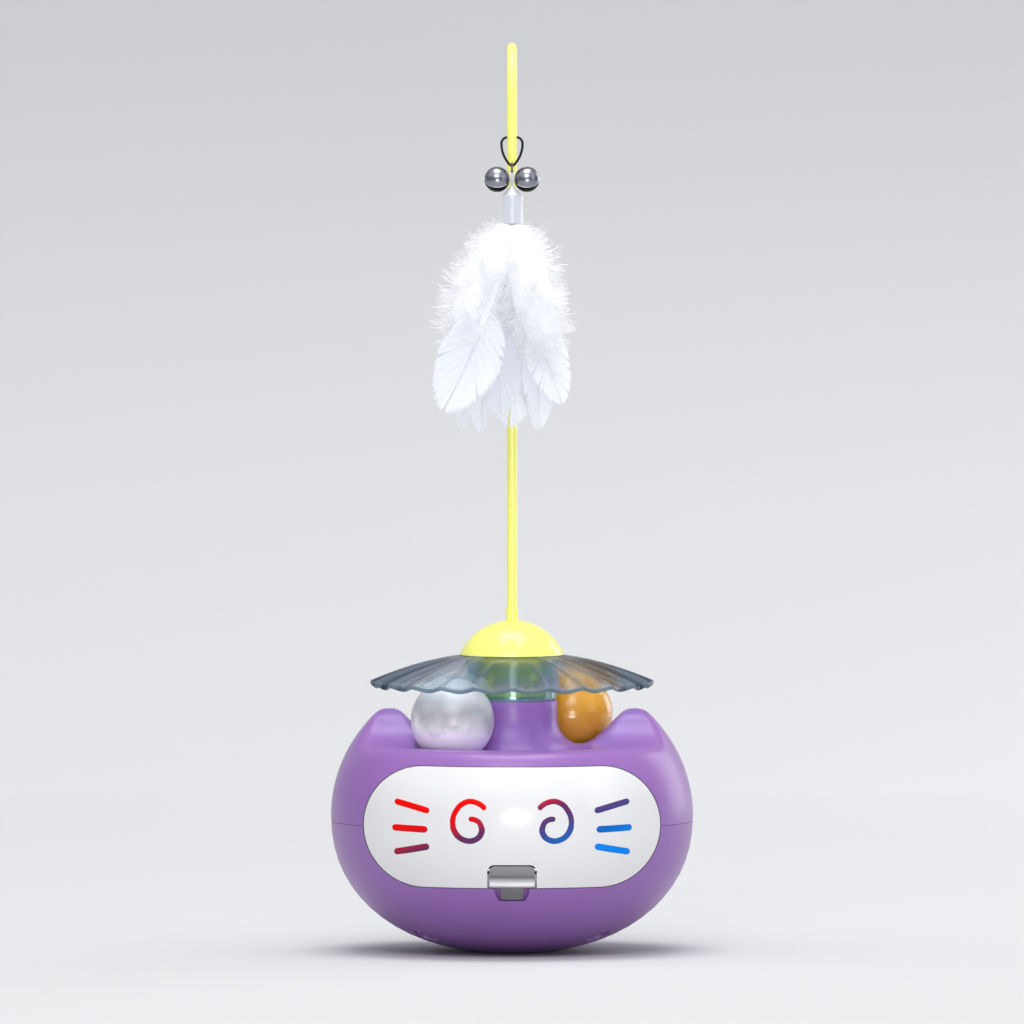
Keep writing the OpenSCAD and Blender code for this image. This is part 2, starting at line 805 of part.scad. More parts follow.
// Hollow across the latch's lower half, for a fingertip
module latch_scoop() {
    half_h = scoop_h / 2;
    scoop_r = (half_h * half_h + scoop_depth * scoop_depth) / (2 * scoop_depth);
    scoop_z = face_bottom_z + face_gap + half_h;
    lean = atan2(outer_radius(scoop_z + half_h) - outer_radius(scoop_z - half_h), scoop_h);
    off = scoop_r - scoop_depth;
    rotate_extrude($fn = 128)
        translate([outer_radius(scoop_z) + off * cos(lean), scoop_z - off * sin(lean)])
            circle(scoop_r);
}

module latch_pin() { color(steel) latch_pin_bore(latch_pin_r); }

// Leaf spring on the cover's post, with its free end behind the latch's heel
module latch_spring() {
    color(steel) translate([-latch_spring_w / 2, spring_y, latch_pin_z])
        cube([latch_spring_w, latch_spring_t, spring_post_up + spring_post_h]);
}

module ball(rest_a) {
    rotate([0, 0, rest_a]) translate([track_r, 0, ball_z]) sphere(ball_r, $fn = 96);
}

module front_ball() { color([0.93, 0.92, 0.93]) ball(front_ball_angle); }
module back_ball() { color([0.85, 0.6, 0.2]) ball(back_ball_angle); }

module bearing_bush() {
    color(white) difference() {
        union() {
            translate([0, 0, bush_z]) cylinder(h = column_z - bush_z + flange_t / 2, r = bush_r);
            translate([0, 0, column_z]) cylinder(h = flange_t, r = flange_r);
        }
        translate([0, 0, bush_z - over]) cylinder(h = tall, r = journal_r + run_gap);
    }
}

module thrust_washer() {
    color(steel) translate([0, 0, column_z + flange_t + thrust_gap]) difference() {
        cylinder(h = thrust_t, r = stem_r - thrust_step);
        translate([0, 0, -over]) cylinder(h = thrust_t + 2 * over, r = journal_r + run_gap);
    }
}

module retaining_washer() {
    color(steel) translate([0, 0, journal_z - washer_t]) difference() {
        cylinder(h = washer_t, r = bush_r);
        translate([0, 0, -over]) cylinder(h = washer_t + 2 * over, r = screw_r + screw_gap);
    }
}

module retaining_screw() {
    color(steel) translate([0, 0, journal_z - washer_t]) screw(washer_t + screw_bite);
}

// A point on the canopy's skirt
function canopy_point(u, a, down) =
    let (
        inner = stem_r + stem_gap,
        r = inner + (canopy_r - inner) * u,
        grow = max(0, (r - dome_edge_r) / (canopy_r - dome_edge_r)),
        wave = cos(flutes * a),
        reach = r + scallop * wave * grow * grow
    )
    [reach * cos(a), reach * sin(a),
     cap_centre_z + sqrt(canopy_cap_r * canopy_cap_r - r * r) + flute_amp * wave * grow - down];

// Fluted skirt: a grid of points over the top, and the same grid lower down
module canopy_skirt() {
    rings = 6;
    steps = flutes * 6;
    points = [for (down = [0, canopy_t], i = [0 : rings], j = [0 : steps - 1])
        canopy_point(i / rings, 360 * j / steps, down)];
    layer = (rings + 1) * steps;
    function at(side, i, j) = side * layer + i * steps + j % steps;
    top = [for (i = [0 : rings - 1], j = [0 : steps - 1], half = [0, 1])
        half == 0 ? [at(0, i, j), at(0, i + 1, j + 1), at(0, i + 1, j)]
                  : [at(0, i, j), at(0, i, j + 1), at(0, i + 1, j + 1)]];
    under = [for (i = [0 : rings - 1], j = [0 : steps - 1], half = [0, 1])
        half == 0 ? [at(1, i, j), at(1, i + 1, j), at(1, i + 1, j + 1)]
                  : [at(1, i, j), at(1, i + 1, j + 1), at(1, i, j + 1)]];
    hub = [for (j = [0 : steps - 1], half = [0, 1])
        half == 0 ? [at(0, 0, j), at(1, 0, j), at(1, 0, j + 1)]
                  : [at(0, 0, j), at(1, 0, j + 1), at(0, 0, j + 1)]];
    rim = [for (j = [0 : steps - 1], half = [0, 1])
        half == 0 ? [at(0, rings, j), at(0, rings, j + 1), at(1, rings, j + 1)]
                  : [at(0, rings, j), at(1, rings, j + 1), at(1, rings, j)]];
    polyhedron(points, concat(top, under, hub, rim));
}

module canopy() {
    neck_low = column_z + neck_gap;
    neck_high = cap_centre_z + sqrt(pow(canopy_cap_r, 2) - pow(column_r, 2)) - canopy_t / 2;
    color([0.6, 0.68, 0.75, 0.5]) {
        canopy_skirt();
        translate([0, 0, neck_low]) difference() {
            cylinder(h = neck_high - neck_low, r = column_r);
            translate([0, 0, -over]) cylinder(h = tall, r = column_r - neck_wall);
        }
    }
}

module dome_cap() {
    color(yellow) difference() {
        union() {
            difference() {
                translate([0, 0, dome_centre_z]) sphere(dome_r, $fn = 128);
                translate([0, 0, cap_centre_z]) sphere(canopy_cap_r + stem_gap, $fn = 128);
            }
            translate([0, 0, stem_z])
                cylinder(h = cap_centre_z + canopy_cap_r + over - stem_z, r = stem_r);
            translate([0, 0, journal_z]) cylinder(h = stem_z - journal_z + over, r = journal_r);
        }
        translate([0, 0, rod_foot_z]) cylinder(h = tall, r = rod_plug_r + rod_gap);
        translate([0, 0, journal_z - over])
            cylinder(h = screw_bite + screw_spare + over, r = screw_r + screw_gap);
    }
}

module teaser_rod() {
    color(yellow) difference() {
        union() {
            translate([0, 0, rod_low_z]) cylinder(h = rod_plug_z - rod_low_z, r = rod_plug_r);
            translate([0, 0, rod_low_z + over]) cylinder(h = bend_z - rod_low_z - over, r = rod_r);
            translate([0, -bend_r, bend_z]) rotate([90, 0, -90]) rotate_extrude(angle = 180, $fn = 96)
                translate([bend_r, 0]) circle(rod_r);
            translate([0, lure_y, tip_z]) cylinder(h = tip_l, r = rod_r);
        }
        translate([0, lure_y, hole_z]) rotate([0, 90, 0])
            cylinder(h = 4 * rod_r, r = wire_r + wire_gap, center = true);
    }
}

// Teardrop wire: a straight bar through the cane, two shoulders, two bowed sides and a bottom bend
module lure_loop() {
    sides = 10;
    bar_half = loop_half_w - loop_shoulder_r;
    widest_z = hole_z - loop_shoulder_r;
    drop = widest_z - loop_low_z - loop_bend_r;
    side_r = (pow(loop_half_w, 2) + drop * drop - pow(loop_bend_r, 2)) / (2 * (loop_half_w - loop_bend_r));
    in = side_r - loop_half_w;
    side_a = atan2(drop, in);
    step = side_a / 6;
    outline = concat(
        arc(-in, widest_z, side_r, -side_a, -step, 5),
        arc(bar_half, widest_z, loop_shoulder_r, 0, 90, 6),
        arc(-bar_half, widest_z, loop_shoulder_r, 90, 180, 6),
        arc(in, widest_z, side_r, 180 + step, 180 + side_a, 5),
        arc(0, loop_low_z + loop_bend_r, loop_bend_r, 180 + side_a + 2 * step, 360 - side_a - 2 * step, 5));
    n = len(outline);
    points = [for (i = [0 : n - 1], j = [0 : sides - 1])
        let (
            along = outline[(i + 1) % n] - outline[(i + n - 1) % n],
            out = [along[1], -along[0]] / norm(along),
            place = outline[i] + wire_r * cos(360 * j / sides) * out
        )
        [place[0], lure_y + wire_r * sin(360 * j / sides), place[1]]];
    faces = [for (i = [0 : n - 1], j = [0 : sides - 1], half = [0, 1])
        let (here = i * sides, next = ((i + 1) % n) * sides, k = (j + 1) % sides)
        half == 0 ? [here + j, next + j, next + k] : [here + j, next + k, here + k]];
    color([0.3, 0.3, 0.32]) polyhedron(points, faces);
}

module jump_ring() {
    color(steel) translate([0, lure_y, ring_z]) rotate([0, 90, 0])
        rotate_extrude() translate([ring_r, 0]) circle(ring_wire_r);
}

// Plug in the sleeve's mouth, with the eye that hangs on the jump ring
module lure_plug() {
    neck_top_z = eye_z - eye_r;
    neck_low_z = shoulder_z + plug_cone_h / 2;
    sleeve_in_r = sleeve_r - sleeve_wall;
    color(white) translate([0, lure_y, 0]) difference() {
        union() {
            translate([0, 0, eye_z]) rotate([90, 0, 0]) difference() {
                cylinder(h = 2 * eye_wire_r, r = eye_r + eye_wire_r, center = true);
                cylinder(h = 2 * eye_r, r = eye_r - eye_wire_r, center = true);
            }
            translate([0, 0, neck_low_z]) cylinder(h = neck_top_z - neck_low_z, r = plug_neck_r);
            translate([0, 0, bell_z]) sphere(neck_bead_r);
            translate([0, 0, shoulder_z]) cylinder(h = plug_cone_h, r1 = sleeve_in_r, r2 = plug_neck_r);
            translate([0, 0, feather_root_z]) cylinder(h = plug_depth, r = sleeve_in_r - plug_gap);
        }
        bell_axle(bell_pin_r + neck_pin_gap);
    }
}

// Round bar through both bells
module bell_axle(r) {
    translate([0, 0, bell_z]) rotate([0, 90, 0])
        cylinder(h = 2 * (bell_x + bell_r + bell_pin_past), r = r, center = true);
}

module bell_pin() { color(steel) translate([0, lure_y, 0]) bell_axle(bell_pin_r); }

module lure_sleeve() {
    color(white) translate([0, lure_y, shoulder_z - sleeve_l]) difference() {
        cylinder(h = sleeve_l, r = sleeve_r);
        translate([0, 0, -over]) cylinder(h = sleeve_l + 2 * over, r = sleeve_r - sleeve_wall);
    }
}

// Hollow bell with a slot across its underside, turning on the pin
module bell(side) {
    color([0.35, 0.35, 0.38]) translate([0, lure_y, 0]) difference() {
        translate([side * bell_x, 0, bell_z]) difference() {
            sphere(bell_r);
            sphere(bell_r - bell_wall);
            translate([-bell_slot_l / 2, -bell_slot_w / 2, -bell_r])
                cube([bell_slot_l, bell_slot_w, bell_r]);
            for (end = [-1, 1]) translate([end * bell_slot_l / 2, 0, -bell_r])
                cylinder(h = bell_r, r = bell_slot_end_r);
        }
        bell_axle(bell_pin_r + bell_pin_gap);
    }
}

module left_bell() { bell(-1); }
module right_bell() { bell(1); }

module pellet(side) {
    drop = bell_r - bell_wall - pellet_r - pellet_gap;
    color(steel) translate([side * bell_x, lure_y, bell_z - drop]) sphere(pellet_r);
}

module left_pellet() { pellet(-1); }
module right_pellet() { pellet(1); }

// One feather as a plump plume: a quill in the sleeve, a fluffy body and a flat thin tip.
// ring_count neighbours share the circle, so the plume stays inside its own sector
module feather(angle, l, bow, half_w, half_t, root_r, ring_count) {
    rings = 14;
    sides = 10;
    hidden_l = sleeve_l - plug_depth + over;
    sector = 0.9 * tan(180 / ring_count);
    points = [for (i = [0 : rings], j = [0 : sides - 1])
        let (
            a = 360 * j / sides,
            u = max(0, (i - 1) / (rings - 1)),
            out = root_r + bow * (sin(90 * min(1, 2 * u)) + 0.4 * u * u),
            taper = quill_r * (1 - 0.6 * u),
            fluff = pow(sin(180 * pow(u, 0.7)), 0.8),
            t = min(0.45 * out, taper + (half_t - taper) * fluff * (1 - 0.5 * u)),
            w = min(taper + (half_w - taper) * fluff, max(taper, (out - t) * sector))
        )
        [out + t * cos(a), w * sin(a), i == 0 ? 0 : -hidden_l - (l - hidden_l) * u]];
    walls = [for (i = [0 : rings - 1], j = [0 : sides - 1], half = [0, 1])
        let (k = (j + 1) % sides)
        half == 0 ? [i * sides + j, i * sides + k, (i + 1) * sides + k]
                  : [i * sides + j, (i + 1) * sides + k, (i + 1) * sides + j]];
    root = [[for (j = [sides - 1 : -1 : 0]) j]];
    tip = [[for (j = [0 : sides - 1]) rings * sides + j]];
    color(white) translate([0, lure_y, feather_root_z - quill_gap]) rotate([0, 0, angle])
        polyhedron(points, concat(root, walls, tip));
}

// Feathers are counted round the outer ring first, then round the inner ring
module feather_at(i) {
    if (i < outer_feathers)
        feather(360 * i / outer_feathers, outer_l, outer_bow, outer_half_w, outer_half_t,
            outer_root_r, outer_feathers);
    else
        feather(180 / outer_feathers + 360 * (i - outer_feathers) / inner_feathers, inner_l,
            inner_bow, inner_half_w, inner_half_t, inner_root_r, 2 * inner_feathers);
}

lower_shell();
upper_shell();
counterweight();
weight_clamp();
weight_screws();
shell_screws();
tray_screws();
treat_tray();
face_cover();
latch();
latch_pin();
latch_spring();
front_ball();
back_ball();
bearing_bush();
canopy();
dome_cap();
thrust_washer();
retaining_washer();
retaining_screw();
teaser_rod();
lure_loop();
jump_ring();
lure_plug();
lure_sleeve();
bell_pin();
left_bell();
right_bell();
left_pellet();
right_pellet();
feather_at(0);  // feather_1
feather_at(1);  // feather_2
feather_at(2);  // feather_3
feather_at(3);  // feather_4
feather_at(4);  // feather_5
feather_at(5);  // feather_6
feather_at(6);  // feather_7
feather_at(7);  // feather_8
feather_at(8);  // feather_9
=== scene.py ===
"""Looks of a wobble cat toy: a weighted cat-head base, a spinning clear canopy and a feather lure."""

import contextlib
import json
import math

import bmesh
import bpy
import numpy as np
from bpy.props import FloatProperty, FloatVectorProperty, IntProperty, PointerProperty
from mathutils import Matrix, Vector

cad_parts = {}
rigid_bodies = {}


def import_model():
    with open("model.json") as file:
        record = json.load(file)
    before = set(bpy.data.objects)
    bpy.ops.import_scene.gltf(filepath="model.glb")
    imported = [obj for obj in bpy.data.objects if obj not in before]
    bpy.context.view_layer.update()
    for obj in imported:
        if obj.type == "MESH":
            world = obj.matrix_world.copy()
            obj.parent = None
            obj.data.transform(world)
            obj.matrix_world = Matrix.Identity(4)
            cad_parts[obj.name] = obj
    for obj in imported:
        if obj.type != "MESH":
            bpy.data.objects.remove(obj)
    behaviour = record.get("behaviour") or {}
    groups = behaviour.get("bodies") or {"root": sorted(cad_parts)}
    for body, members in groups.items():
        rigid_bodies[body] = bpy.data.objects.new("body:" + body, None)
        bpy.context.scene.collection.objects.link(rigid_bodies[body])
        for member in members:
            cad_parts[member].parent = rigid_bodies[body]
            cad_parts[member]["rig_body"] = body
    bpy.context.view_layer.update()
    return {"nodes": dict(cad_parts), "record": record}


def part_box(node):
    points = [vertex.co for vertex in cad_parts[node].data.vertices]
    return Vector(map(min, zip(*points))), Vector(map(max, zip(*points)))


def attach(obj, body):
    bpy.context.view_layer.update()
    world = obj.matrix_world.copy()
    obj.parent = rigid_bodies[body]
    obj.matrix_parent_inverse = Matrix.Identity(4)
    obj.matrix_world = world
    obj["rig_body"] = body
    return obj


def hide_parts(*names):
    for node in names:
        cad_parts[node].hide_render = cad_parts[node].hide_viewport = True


bl_info = {
    "name": "Wobble cat toy",
    "version": (1, 0, 0),
    "blender": (4, 5, 0),
    "location": "View3D > Sidebar > Wobble toy",
    "description": "Dresses the packed solids of a wobble cat toy",
    "category": "Object",
}

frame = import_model()
MM = 0.001
TURN = 2 * math.pi

# Sizes of the solids, in millimetres and degrees
BODY_R, BELLY_Z, BOWL_DEPTH, BOWL_POWER, CROWN_RISE = 65.2, 49.3, 49.95, 2.2, 56.0
PART_Z, WALL, DECK_Z = 47.2, 2.4, 74.8
EAR_Z, EAR_R, EAR_OUTER_R, EAR_INNER_R, EAR_CREST_R, EAR_HALF_L = 87.8, 44.0, 8.3, 6.0, 11.0, 26.0
EAR_JOIN_A, EAR_SLOPE_A, VALLEY_A = 43, 35, 30
COLUMN_R, COLUMN_Z, VALLEY_R, VALLEY_Z = 16.4, 90.7, 26.0, 74.5
BUSH_R, BUSH_SEAT = 9.5, 2.8
BALL_R, TRACK_R, BALL_Z, BALL_GAP, POCKET_GAP = 15.0, 32.0, 84.6, 0.3, 0.6
FRONT_BALL_A, BACK_BALL_A, ROLL_A, BAY_SPARE_A = 228.0, 48.0, 72.0, 1.5
FACE_W, FACE_H, FACE_Z = 107.0, 44.0, 47.9
CANOPY_R, CANOPY_CAP_R, CANOPY_Z, DOME_EDGE_R, CANOPY_T = 49.8, 117.0, 106.8, 19.6, 1.6
CANOPY_CENTRE_Z = CANOPY_Z - math.sqrt(CANOPY_CAP_R ** 2 - DOME_EDGE_R ** 2)
FLUTES, FLUTE_AMP, SCALLOP, NECK_T = 24, 0.6, 0.8, 1.8
STEM_R, STEM_GAP = 11.7, 0.2
LURE_Y, ROOT_Z, HIDDEN_L = -36.0, 270.86, 8.0

# Looks, in millimetres unless a comment says otherwise
NO_FLOOR = 1e3  # stands for no bay below a point
EDGE_SOFT, CREST_SOFT, BAY_SOFT = 4.5, 0.12, 0.7  # rounding of ears, its share on their crest, a bay's
CREST_FLAT, CREST_FADE = 3, 9  # half width of the sharper crest, and its fade to the sides
CROWN_EDGE_R, FLANK_R, UNDER_R = 60, 52, 56.5  # where the crown, the ears' flanks and the underside end
CUT_NEAR_R, CUT_FAR_R = 54.5, 75  # reach of the cut for the face
LATCH_FOOT_Z, LATCH_FOOT_Y, LATCH_RELIEF = 26.25, -57.4, 0.05  # latch's lower back edge, and its lift
FLUTE_STEPS, FLUTE_POWER = 16, 1.3  # columns of points in a flute, and the fullness of its crest
DOWN_SPAN = (-0.02, 0.62)  # part of a quill that carries down, as shares of its length
CANE_Y, CANE_SOFT, BARB_Y = -8.0, 3.0, -5.0  # where down and barbs stop before the cane
TUFT, STRAY, QUICK = 9, 12, 6
NECK_REACH = (0.0168, 0.0185)  # radii between which the neck's tint ends, in metres
BELL_TILT = 0.88  # slope of the bells' rolled edge, where the painted black reflection meets the painted highlight
CLEAR_SHADE = (0.55, 0.59, 0.63)  # colour of the light through the canopy
SLEEVE_WHITE = (0.54, 0.57, 0.65)


# ---------------------------------------------------------------- settings


def colour(name, description, default):
    return FloatVectorProperty(
        name=name, description=description, subtype="COLOR", default=default, min=0, max=1)


def length(name, description, default, low, high):
    return FloatProperty(name=name, description=description, subtype="DISTANCE", unit="LENGTH",
                         default=default, min=low, max=high)


class ToyColours(bpy.types.PropertyGroup):
    """Colours of the toy's finishes"""

    shell: colour("Shell", "Moulded purple of the base", (0.268, 0.121, 0.405))
    lemon: colour("Lemon", "Yellow of the dome and the cane", (0.96, 0.94, 0.20))
    face: colour("Face", "White of the face cover", (0.73, 0.73, 0.742))
    pearl: colour("Pearl", "White of the pearl ball", (0.86, 0.85, 0.88))
    amber: colour("Amber", "Orange of the amber ball", (0.71, 0.33, 0.02))
    smoke: colour("Smoke", "Tint of the clear canopy", (0.86, 0.92, 0.96))
    # painted shade: the dark tint laid on the canopy where it turns away from the eye
    smoke_edge_shade: colour("Smoke edge", "Tint of the canopy where it turns away", (0.10, 0.15, 0.23))
    neck: colour("Neck", "Tint of the canopy's neck", (0.54, 0.70, 0.76))
    down: colour("Down", "White of the feathers", (0.80, 0.81, 0.84))


class ToyFeathers(bpy.types.PropertyGroup):
    """Chance and sizes of the feathers' loose barbs"""

    seed: IntProperty(name="Seed", description="Seed of the barbs' places", default=7, min=0)
    barb_length: length("Barb length", "Length of a loose barb", 0.0080, 0.002, 0.02)
    barb_radius: length("Barb radius", "Radius of a loose barb at its root", 0.00008, 0.00004, 0.0004)


class ToyStage(bpy.types.PropertyGroup):
    """Camera of the stage"""

    elevation: FloatProperty(
        name="Elevation", description="Camera's height above the horizon", subtype="ANGLE",
        default=math.radians(2.7))
    distance: length("Distance", "Camera's distance from the toy's axis", 12.0, 1.0, 20.0)
    view_width: length("View width", "Width of the picture at the toy's axis", 0.36864, 0.2, 1.0)
    aim_height: length("Aim height", "Height at the middle of the picture", 0.1584, 0.0, 0.4)


def colours():
    return bpy.context.scene.toy_colours


# ---------------------------------------------------------------- meshes


def new_object(name, data):
    """A new object in the scene."""
    obj = bpy.data.objects.new(name, data)
    bpy.context.scene.collection.objects.link(obj)
    return obj


def mesh_object(name, points, faces, material=None):
    """A new smooth-shaded object from points in millimetres."""
    mesh = bpy.data.meshes.new(name)
    mesh.from_pydata([tuple(p) for p in np.asarray(points, float) * MM], [], faces)
    mesh.update()
    mesh.polygons.foreach_set("use_smooth", [True] * len(mesh.polygons))
    if material:
        mesh.materials.append(material)
    return new_object(name, mesh)


@contextlib.contextmanager
def editing(mesh):
    """A mesh's points and faces, open for changes."""
    work = bmesh.new()
    work.from_mesh(mesh)
    yield work
    work.to_mesh(mesh)
    work.free()


def closed_object(name, points, faces, material=None, weld=0.0):
    """A new closed object whose faces all point outwards, after points that meet are welded."""
    obj = mesh_object(name, points, faces, material)
    with editing(obj.data) as work:
        if weld:
            bmesh.ops.remove_doubles(work, verts=work.verts, dist=weld)
        bmesh.ops.recalc_face_normals(work, faces=work.faces)
    return obj


def bake(obj):
    """Keeps what an object's modifiers make of it, and drops them."""
    graph = bpy.context.evaluated_depsgraph_get()
    mesh = bpy.data.meshes.new_from_object(obj.evaluated_get(graph))
    obj.modifiers.clear()
    obj.data = mesh


def point_attribute(mesh, name, values, kind="FLOAT"):
    """Gives each point of a mesh a value."""
    attribute = mesh.attributes.new(name, kind, "POINT")
    attribute.data.foreach_set("value", np.asarray(values, np.float32).ravel())


def soften(obj, angle):
    """Smooth shading up to an angle in degrees."""
    obj.data.polygons.foreach_set("use_smooth", [True] * len(obj.data.polygons))
    obj.data.set_sharp_from_angle(angle=math.radians(angle))
    obj.data.update()


def solid_copy(node, name, material, angle=32.0):
    """A merged, smooth-shaded copy of a solid, which stands for it."""
    source = frame["nodes"][node]
    mesh = source.data.copy()
    mesh.name = name
    obj = new_object(name, mesh)
    with editing(mesh) as work:
        bmesh.ops.remove_doubles(work, verts=work.verts, dist=2e-6)
    for attribute in [a.name for a in mesh.attributes if a.name in ("custom_normal", "sharp_face")]:
        mesh.attributes.remove(mesh.attributes[attribute])
    soften(obj, angle)
    mesh.materials.clear()
    mesh.materials.append(material)
    settle(obj, source["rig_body"], node)
    return obj


def settle(obj, body, *nodes, slot=None):
    """Puts a piece on its body, in place of the nodes it stands for."""
    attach(obj, body)
    if nodes:
        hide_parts(*nodes)
        slot = slot or next(
            s["material_slot"] for s in frame["record"]["subparts"] if s["node"] == nodes[0])


def grid_faces(rows, columns, wrap_rows=False, wrap_columns=False):
    """Quads of a grid of points, row by row."""
    faces = []
    for i in range(rows if wrap_rows else rows - 1):
        for j in range(columns if wrap_columns else columns - 1):
            a, b = i * columns, (i + 1) % rows * columns
            k = (j + 1) % columns
            faces.append((a + j, a + k, b + k, b + j))
    return faces


def tube_faces(rows, sides):
    """Quads round a tube of points, and its two ends."""
    ends = [tuple(range(sides)), tuple((rows - 1) * sides + j for j in range(sides))]
    return grid_faces(rows, sides, wrap_columns=True) + ends


def unit(vectors):
    return vectors / np.linalg.norm(vectors, axis=-1, keepdims=True)


def around(turns, r, z):
    """Points at angles, radii and heights round an axis."""
    return np.stack(np.broadcast_arrays(r * np.cos(turns), r * np.sin(turns), z), -1)


def circle(r, x):
    """Height of a circle's edge at a distance across from its middle."""
    return np.sqrt(np.clip(r ** 2 - x ** 2, 0, None))


# ---------------------------------------------------------------- shape of the base


def outer_radius(z):
    z = np.asarray(z, float)
    low = np.clip((BELLY_Z - z) / BOWL_DEPTH, 0, 1)
    high = np.clip((z - BELLY_Z) / CROWN_RISE, 0, 1)
    return np.where(z < BELLY_Z, BODY_R * (1 - low ** BOWL_POWER) ** (1 / BOWL_POWER),
                    BODY_R * np.sqrt(1 - high * high))


def smooth_min(a, b, k):
    h = np.clip(0.5 + 0.5 * (b - a) / k, 0, 1)
    return b * (1 - h) + a * h - k * h * (1 - h)


def ring_height(r):
    """Height of the ears' profile, turned all round, at a radius."""
    join_a, slope_a, valley_a = (math.radians(a) for a in (EAR_JOIN_A, EAR_SLOPE_A, VALLEY_A))
    dome = BELLY_Z + CROWN_RISE * np.sqrt(np.clip(1 - (r / BODY_R) ** 2, 0, 1))
    outer = EAR_Z - EAR_OUTER_R + circle(EAR_OUTER_R, r - EAR_R)
    outside = np.where(r > EAR_R + EAR_OUTER_R * math.cos(join_a), dome, outer)
    inner = EAR_Z - EAR_INNER_R + circle(EAR_INNER_R, r - EAR_R)
    bend = VALLEY_R - COLUMN_R
    valley = VALLEY_Z + bend - circle(bend, r - VALLEY_R)
    top_r = EAR_R - EAR_INNER_R * math.cos(slope_a)
    top_z = EAR_Z - EAR_INNER_R + EAR_INNER_R * math.sin(slope_a)
    low_r, low_z = VALLEY_R + bend * math.cos(valley_a), VALLEY_Z + bend / 2
    slope = low_z + (r - low_r) * (top_z - low_z) / (top_r - low_r)
    inside = np.where(r > top_r, inner, np.where(r > low_r, slope, valley))
    return np.where(r > EAR_R, outside, inside)


def crest_height(y):
    """Height of the deck and the ears' crest at a depth."""
    y = np.abs(y)
    rise = EAR_Z - DECK_Z
    fillet = (EAR_HALF_L ** 2 + rise * rise) / (2 * rise) - EAR_CREST_R
    meet = EAR_HALF_L * EAR_CREST_R / (EAR_CREST_R + fillet)
    top = EAR_Z - EAR_CREST_R + circle(EAR_CREST_R, y)
    foot = DECK_Z + fillet - circle(fillet, EAR_HALF_L - y)
    return np.where(y < meet, top, np.where(y < EAR_HALF_L, foot, DECK_Z))


def bowl_height(away, size):
    """Height of a round hollow's floor at a distance from its middle."""
    return np.where(away < size, BALL_Z - circle(size, np.minimum(away, size)), NO_FLOOR)


def bay_height(x, y, rest_a):
    """Height of a ball bay's floor: a round track with a pocket at each end."""
    first = rest_a - BAY_SPARE_A
    sweep = ROLL_A + 2 * BAY_SPARE_A
    turn = (np.degrees(np.arctan2(y, x)) - first) % 360
    track = np.abs(np.hypot(x, y) - TRACK_R)
    height = bowl_height(np.where(turn <= sweep, track, np.inf), BALL_R + BALL_GAP)
    for a in (first, first + sweep):
        ex, ey = TRACK_R * math.cos(math.radians(a)), TRACK_R * math.sin(math.radians(a))
        pocket = bowl_height(np.hypot(x - ex, y - ey), BALL_R + BALL_GAP + POCKET_GAP)
        height = np.minimum(height, pocket)
    return height


def deck_height(x, y):
    """Height of the top of the base, with softened edges."""
    r = np.hypot(x, y)
    ring = ring_height(r)
    beside = np.clip((np.abs(y) - CREST_FLAT) / CREST_FADE, 0, 1)
    ease = CREST_SOFT + (1 - CREST_SOFT) * beside * beside * (3 - 2 * beside)
    blend = EDGE_SOFT * np.clip((r - VALLEY_R - 1) / 4, 0.02, 1) * ease
    z = np.where(r > VALLEY_R, smooth_min(ring, crest_height(y), blend), ring)
    for a in (FRONT_BALL_A, BACK_BALL_A):
        floor = bay_height(x, y, a)
        z = np.where(floor < NO_FLOOR / 2, smooth_min(z, floor, BAY_SOFT), z)
    return z


def stadium_block(w, h, near, far):
    """A closed block with a stadium outline between two radii, for cutting."""
    count = 97
    x = -np.cos(np.linspace(0, math.pi, count)) * w / 2
    over = np.clip(np.abs(x) - (w - h) / 2, 0, h / 2)
    half = np.maximum(circle(h / 2, over), 0.02)
    corners = ((far, 1), (far, -1), (near, -1), (near, 1))
    rows = [np.stack([x, -np.sqrt(r * r - x * x), FACE_Z + s * half], 1) for r, s in corners]
    points = np.stack(rows, 1).reshape(-1, 3)
    return closed_object("cutter", points, tube_faces(count, len(corners)))


def cut_away(obj, cutter):
    """Subtracts a closed cutter, which is then removed."""
    change = obj.modifiers.new("cut", "BOOLEAN")
    change.operation, change.solver, change.object = "DIFFERENCE", "EXACT", cutter
    bake(obj)
    bpy.data.objects.remove(cutter)


